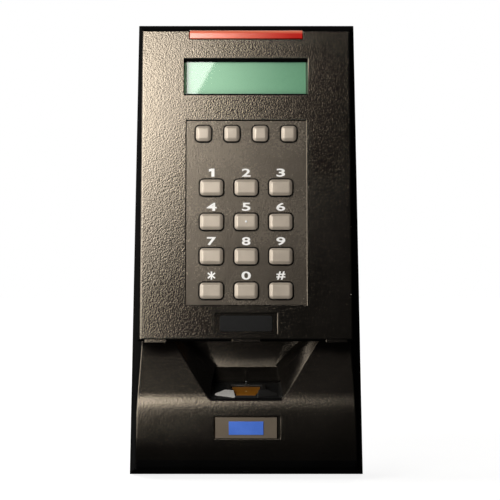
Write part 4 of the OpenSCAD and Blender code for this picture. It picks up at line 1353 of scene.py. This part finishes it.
    def dome(self, node: str) -> None:
        """Model the silicone spring dome under a key in its rest shape; the real dome flattens as the key
        goes in, this one does not.

        Args:
            node: The key's node.
        """
        key_low, key_high = FACE.box(node)
        base = FACE.box("key_domes")[0].z
        height = key_low.z - base - self.dome_slack
        radius = (key_high.y - key_low.y) / 2 - self.flange - self.dome_in
        middle = (key_low + key_high) / 2
        obj = add_piece(
            bpy.ops.mesh.primitive_cone_add, f"{node}_dome", vertices=self.dome_sides, radius1=radius,
            radius2=self.dome_taper * radius, depth=height, location=(0, 0, height / 2))
        bpy.ops.object.transform_apply(location=True)
        with editing(obj) as mesh:
            bpy.ops.mesh.select_mode(type="FACE")
            top = max(mesh.faces, key=lambda f: f.calc_center_median().z)
            top.select_set(True)
            bpy.ops.mesh.inset(thickness=self.dome_rim * radius)
            bpy.ops.mesh.inset(thickness=self.dome_step * radius, depth=-self.dome_dip)
        self.round_loop(obj, height, self.dome_round * radius)
        obj.data.transform(FACE.matrix @ Matrix.Translation((middle.x, middle.y, base)))
        settle(obj, SILICONE, ("key_domes",), angle=self.smooth_below)
        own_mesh(obj)


@dataclass
class Display:
    """The window, the green cell behind it and what lights and holds it."""

    window_gap: float = 0.05
    border: float = 1.2

    def build(self) -> None:
        """Model the cell and dress the rest."""
        dress(WINDOW, "display_window")
        dress(STEEL, "display_frame")
        dress(BACKLIGHT, "backlight")
        low, high = FACE.box("display_cell")
        size = high - low
        depth = size.z - self.window_gap
        obj = add_piece(bpy.ops.mesh.primitive_cube_add, "display_glass_cell", size=1)
        with editing(obj) as mesh:
            bpy.ops.mesh.select_all(action="SELECT")
            bpy.ops.transform.resize(value=(size.x, size.y, depth))
            bpy.ops.mesh.select_all(action="DESELECT")
            bpy.ops.mesh.select_mode(type="FACE")
            max(mesh.faces, key=lambda f: f.calc_center_median().z).select_set(True)
            bpy.ops.mesh.inset(thickness=self.border)
            bpy.ops.mesh.inset(thickness=self.window_gap, depth=-self.window_gap)
        middle = (low + high) / 2
        obj.data.transform(FACE.matrix @ Matrix.Translation((middle.x, middle.y, low.z + depth / 2)))
        settle(obj, CELL, ("display_cell",))


@dataclass
class LightBar:
    """The translucent bar along the face's top edge and the lamps behind it."""

    edge: float = 0.25

    def build(self) -> None:
        """Model the bar with its softened edges."""
        views = (FRONT, ABOVE, LEFT, RIGHT)
        soften("light_bar", "glow_bar", BAR, "light_red", self.edge, views, segments=3)
        dress(LAMP, "status_leds")


@dataclass
class FingerSensor:
    """The pocket's floor with the sensor's cover, bezel, gasket and board."""

    rest_edge: float = 0.2
    bezel_edge: float = 0.15
    rib_reach: float = 0.6
    front_strip: float = 2
    spot_share: float = 0.45

    def build(self) -> None:
        """Model the floor, the bezel, the gasket and the sensor's cover."""
        views = (FRONT, ABOVE)
        floor = copy_node("finger_rest", "pocket_floor")
        round_edges(floor, self.rest_edge, views, 2)
        self.plate_rib(floor)
        settle(floor, REST, ("finger_rest",))
        pieces = (
            ("sensor_bezel", "sensor_frame", BEZEL, "frame_steel"),
            ("sensor_gasket", "sensor_seal", RUBBER, "rubber_black"),
            ("sensor_die", "sensor_cover", self.die_finish(), "sensor_amber"))
        for piece in pieces:
            soften(*piece, self.bezel_edge, views)
        dress(BOARD, "sensor_board")
        dress(SCREW, "sensor_screws")
        dress(RIBBON, "sensor_ribbon")

    def plate_rib(self, obj: bpy.types.Object) -> None:
        """Give the small rib in the middle of the floor a steel skin.

        Args:
            obj: The pocket's floor.
        """
        obj.data.materials.append(REST.material())
        obj.data.materials.append(STEEL.material())
        for face in obj.data.polygons:
            if all(abs(obj.data.vertices[i].co.x) < self.rib_reach for i in face.vertices):
                face.material_index = 1

    def die_finish(self) -> DieFinish:
        """Place the amber finish's light point on the sensor's top face.

        Returns:
            The finish.
        """
        points = [v.co for v in frame["nodes"]["sensor_die"].data.vertices]
        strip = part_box("sensor_die")[0].y + self.front_strip * MM
        front = max((p for p in points if p.y < strip), key=lambda p: p.z)
        rear = max(points, key=lambda p: p.z)
        spot = front.lerp(rear, self.spot_share)
        return replace(AMBER, spot_place=(0.0, spot.y, spot.z))


@dataclass
class Badges:
    """The bare inlay under the keys, and the bare plate with its label on the chin."""

    edge: float = 0.12

    def build(self) -> None:
        """Model the three pieces with softened edges."""
        pieces = (
            ("badge_upper", "upper_inlay", INLAY, "badge_black"),
            ("badge_lower", "lower_plate", PLATE, "badge_grey"),
            ("badge_label", "plate_label", LABEL, "label_blue"))
        for piece in pieces:
            soften(*piece, self.edge, (FRONT,))


@dataclass
class WallMount:
    """The steel wall plate and the screw that locks the reader to it."""

    plate_edge: float = 0.3
    screw_edge: float = 0.2

    def build(self) -> None:
        """Model the plate and the screw."""
        soften("wall_plate", "steel_plate", ZINC, "plate_steel", self.plate_edge, (BACK,))
        soften("security_screw", "lock_screw", LOCK, "screw_steel", self.screw_edge, (BELOW,))


@dataclass
class Electronics:
    """The boards and what sits on them."""

    block_edge: float = 0.3

    def build(self) -> None:
        """Dress the boards, and soften the blocks that show through the back."""
        dress(BOARD, "front_board", "main_board")
        dress(COPPER, "antenna_coil")
        dress(CHIP, "board_chips", "buzzer")
        dress(RIBBON, "board_ribbon")
        dress(SCREW, "front_board_screws", "main_board_screws", "terminal_screws")
        pieces = (
            ("terminal_block", "wire_terminals", TERMINAL, "terminal_green"),
            ("tamper_sensor", "tamper_eye", CHIP, "chip_black"))
        for piece in pieces:
            soften(*piece, self.block_edge, (BACK,))


@dataclass
class Stage:
    """The camera, the lights, the white surroundings and the floor."""

    camera_place: tuple[float, float, float] = (0.00165, -0.830, 0.0)
    focal_px: float = 1860.5
    picture_px: float = 500.0
    sensor_mm: float = 36.0
    box_place: tuple[float, float, float] = (-0.58, -0.744, -0.055)
    box_size: tuple[float, float] = (1.2, 0.99)
    box_lean: float = 21.5
    box_yaw: float = 42.4
    box_radiance: float = 4.1
    upper_place: tuple[float, float, float] = (-0.36, -0.5, 0.255)
    upper_size: tuple[float, float] = (0.53, 0.2)
    upper_radiance: float = 5.4
    window_place: tuple[float, float, float] = (-0.077, -0.5, 0.235)
    window_size: tuple[float, float] = (0.08, 0.14)
    window_lean: float = 27.0
    window_radiance: float = 4.2
    card_place: tuple[float, float, float] = (-0.7, -0.15, 0.3)
    card_size: tuple[float, float] = (0.5, 0.9)
    card_radiance: float = 3.0
    back_place: tuple[float, float, float] = (0.25, 0.75, 0.45)
    back_size: tuple[float, float] = (0.5, 0.5)
    back_radiance: float = 2.0
    fill: float = 0.04
    dim_gloss: float = 0.008
    behind: tuple[float, float] = (0.9, 0.99)
    floor_size: float = 6.0
    floor_tone: float = 0.35
    floor_glow: float = 0.87
    floor_lift: float = 0.15
    floor_fade: tuple[float, float] = (0.15, 0.7)
    warm: Colour = (1.0, 0.98, 0.95)

    def build(self) -> None:
        """Set up everything around the object."""
        bpy.context.scene.view_settings.view_transform = "Standard"
        self.camera()
        self.lights()
        self.world()
        self.floor()

    def camera(self) -> None:
        """Place the camera as in the photograph."""
        data = bpy.data.cameras.new("camera")
        data.sensor_width = self.sensor_mm
        data.lens = self.focal_px / self.picture_px * self.sensor_mm
        obj = bpy.data.objects.new("camera", data)
        obj.location = self.camera_place
        obj.rotation_euler = (math.radians(90), 0, 0)
        bpy.context.scene.collection.objects.link(obj)
        bpy.context.scene.camera = obj

    def area(
        self, name: str, place: tuple[float, float, float], size: tuple[float, float], radiance: float,
        turn: Matrix | None = None
    ) -> None:
        """Add a rectangular light.

        Args:
            name: Its name.
            place: Its middle.
            size: Its width and height in metres.
            radiance: How bright its surface is, where 1 is white.
            turn: Its turn, or none to aim it at the reader.
        """
        if turn is None:
            turn = (-Vector(place)).to_track_quat("-Z", "Y").to_matrix().to_4x4()
        data = bpy.data.lights.new(name, "AREA")
        data.shape = "RECTANGLE"
        data.size, data.size_y = size
        data.energy = radiance * math.pi * size[0] * size[1]
        data.color = self.warm
        obj = bpy.data.objects.new(name, data)
        obj.matrix_world = Matrix.Translation(place) @ turn
        obj.visible_camera = False
        bpy.context.scene.collection.objects.link(obj)

    def lights(self) -> None:
        """Place the soft box, its brighter top, the window card, the far card and the light behind."""
        upright = Matrix.Rotation(math.radians(90), 4, "X")
        lean = Matrix.Rotation(math.radians(self.box_lean), 4, "Y")
        turned = Matrix.Rotation(math.radians(self.box_yaw), 4, "Z") @ lean @ upright
        tilted = Matrix.Rotation(math.radians(self.window_lean), 4, "Y") @ upright
        self.area("soft_box", self.box_place, self.box_size, self.box_radiance, turned)
        self.area("upper_box", self.upper_place, self.upper_size, self.upper_radiance, upright)
        self.area("window_card", self.window_place, self.window_size, self.window_radiance, tilted)
        self.area("side_card", self.card_place, self.card_size, self.card_radiance)
        self.area("back_light", self.back_place, self.back_size, self.back_radiance)

    def world(self) -> None:
        """Make the surroundings white to the camera, and to gloss from behind, with a low fill elsewhere."""
        world = bpy.data.worlds.new("surroundings")
        world.use_nodes = True
        bpy.context.scene.world = world
        graph = Graph(world.node_tree)
        path = graph.add("LightPath")
        depth = graph.along(graph.add("TexCoord").outputs["Generated"], "Y")
        behind = graph.between(depth, *self.behind)
        gloss = graph.blend(behind, colour4((self.dim_gloss,) * 3), colour4(WHITE))
        unlit = graph.blend(path.outputs["Is Glossy Ray"], colour4((self.fill,) * 3), gloss)
        seen = graph.math("MAXIMUM", path.outputs["Is Camera Ray"], path.outputs["Is Transmission Ray"])
        background = world.node_tree.nodes["Background"]
        graph.feed(background.inputs["Color"], graph.blend(seen, unlit, colour4(WHITE)))

    def floor(self) -> None:
        """Lay a pale floor under the object that shows its soft shadow and otherwise fades into white."""
        place = (0, 0, CAD_BOX[0][2])
        obj = add_piece(bpy.ops.mesh.primitive_plane_add, "floor", size=self.floor_size, location=place)
        obj.visible_diffuse = False
        obj.visible_glossy = False
        obj.visible_shadow = False
        material = bpy.data.materials.new("pale_floor")
        material.use_nodes = True
        graph = Graph(material.node_tree)
        shader = material.node_tree.nodes["Principled BSDF"]
        shader.inputs["Base Color"].default_value = colour4((self.floor_tone,) * 3)
        shader.inputs["Specular IOR Level"].default_value = 0.0
        reach = graph.add("VectorMath", operation="LENGTH")
        graph.feed(reach.inputs[0], graph.add("TexCoord").outputs["Object"])
        away = graph.between(reach.outputs["Value"], *self.floor_fade)
        glow = graph.add("Emission")
        strength = graph.math("MULTIPLY_ADD", away, self.floor_lift, self.floor_glow)
        graph.feed(glow.inputs["Strength"], strength)
        both = graph.add("AddShader")
        graph.tree.links.new(shader.outputs["BSDF"], both.inputs[0])
        graph.tree.links.new(glow.outputs["Emission"], both.inputs[1])
        output = graph.tree.nodes["Material Output"]
        graph.tree.links.new(both.outputs["Shader"], output.inputs["Surface"])
        obj.data.materials.append(material)


def main() -> None:
    """Build the stage and every sub-assembly in order."""
    parts = (
        Stage(), Shells(), KeyPad(), Display(), LightBar(), FingerSensor(), Badges(), WallMount(),
        Electronics())
    for part in parts:
        LOG.info("building %s", type(part).__name__)
        part.build()


if __name__ == "__main__":
    main()
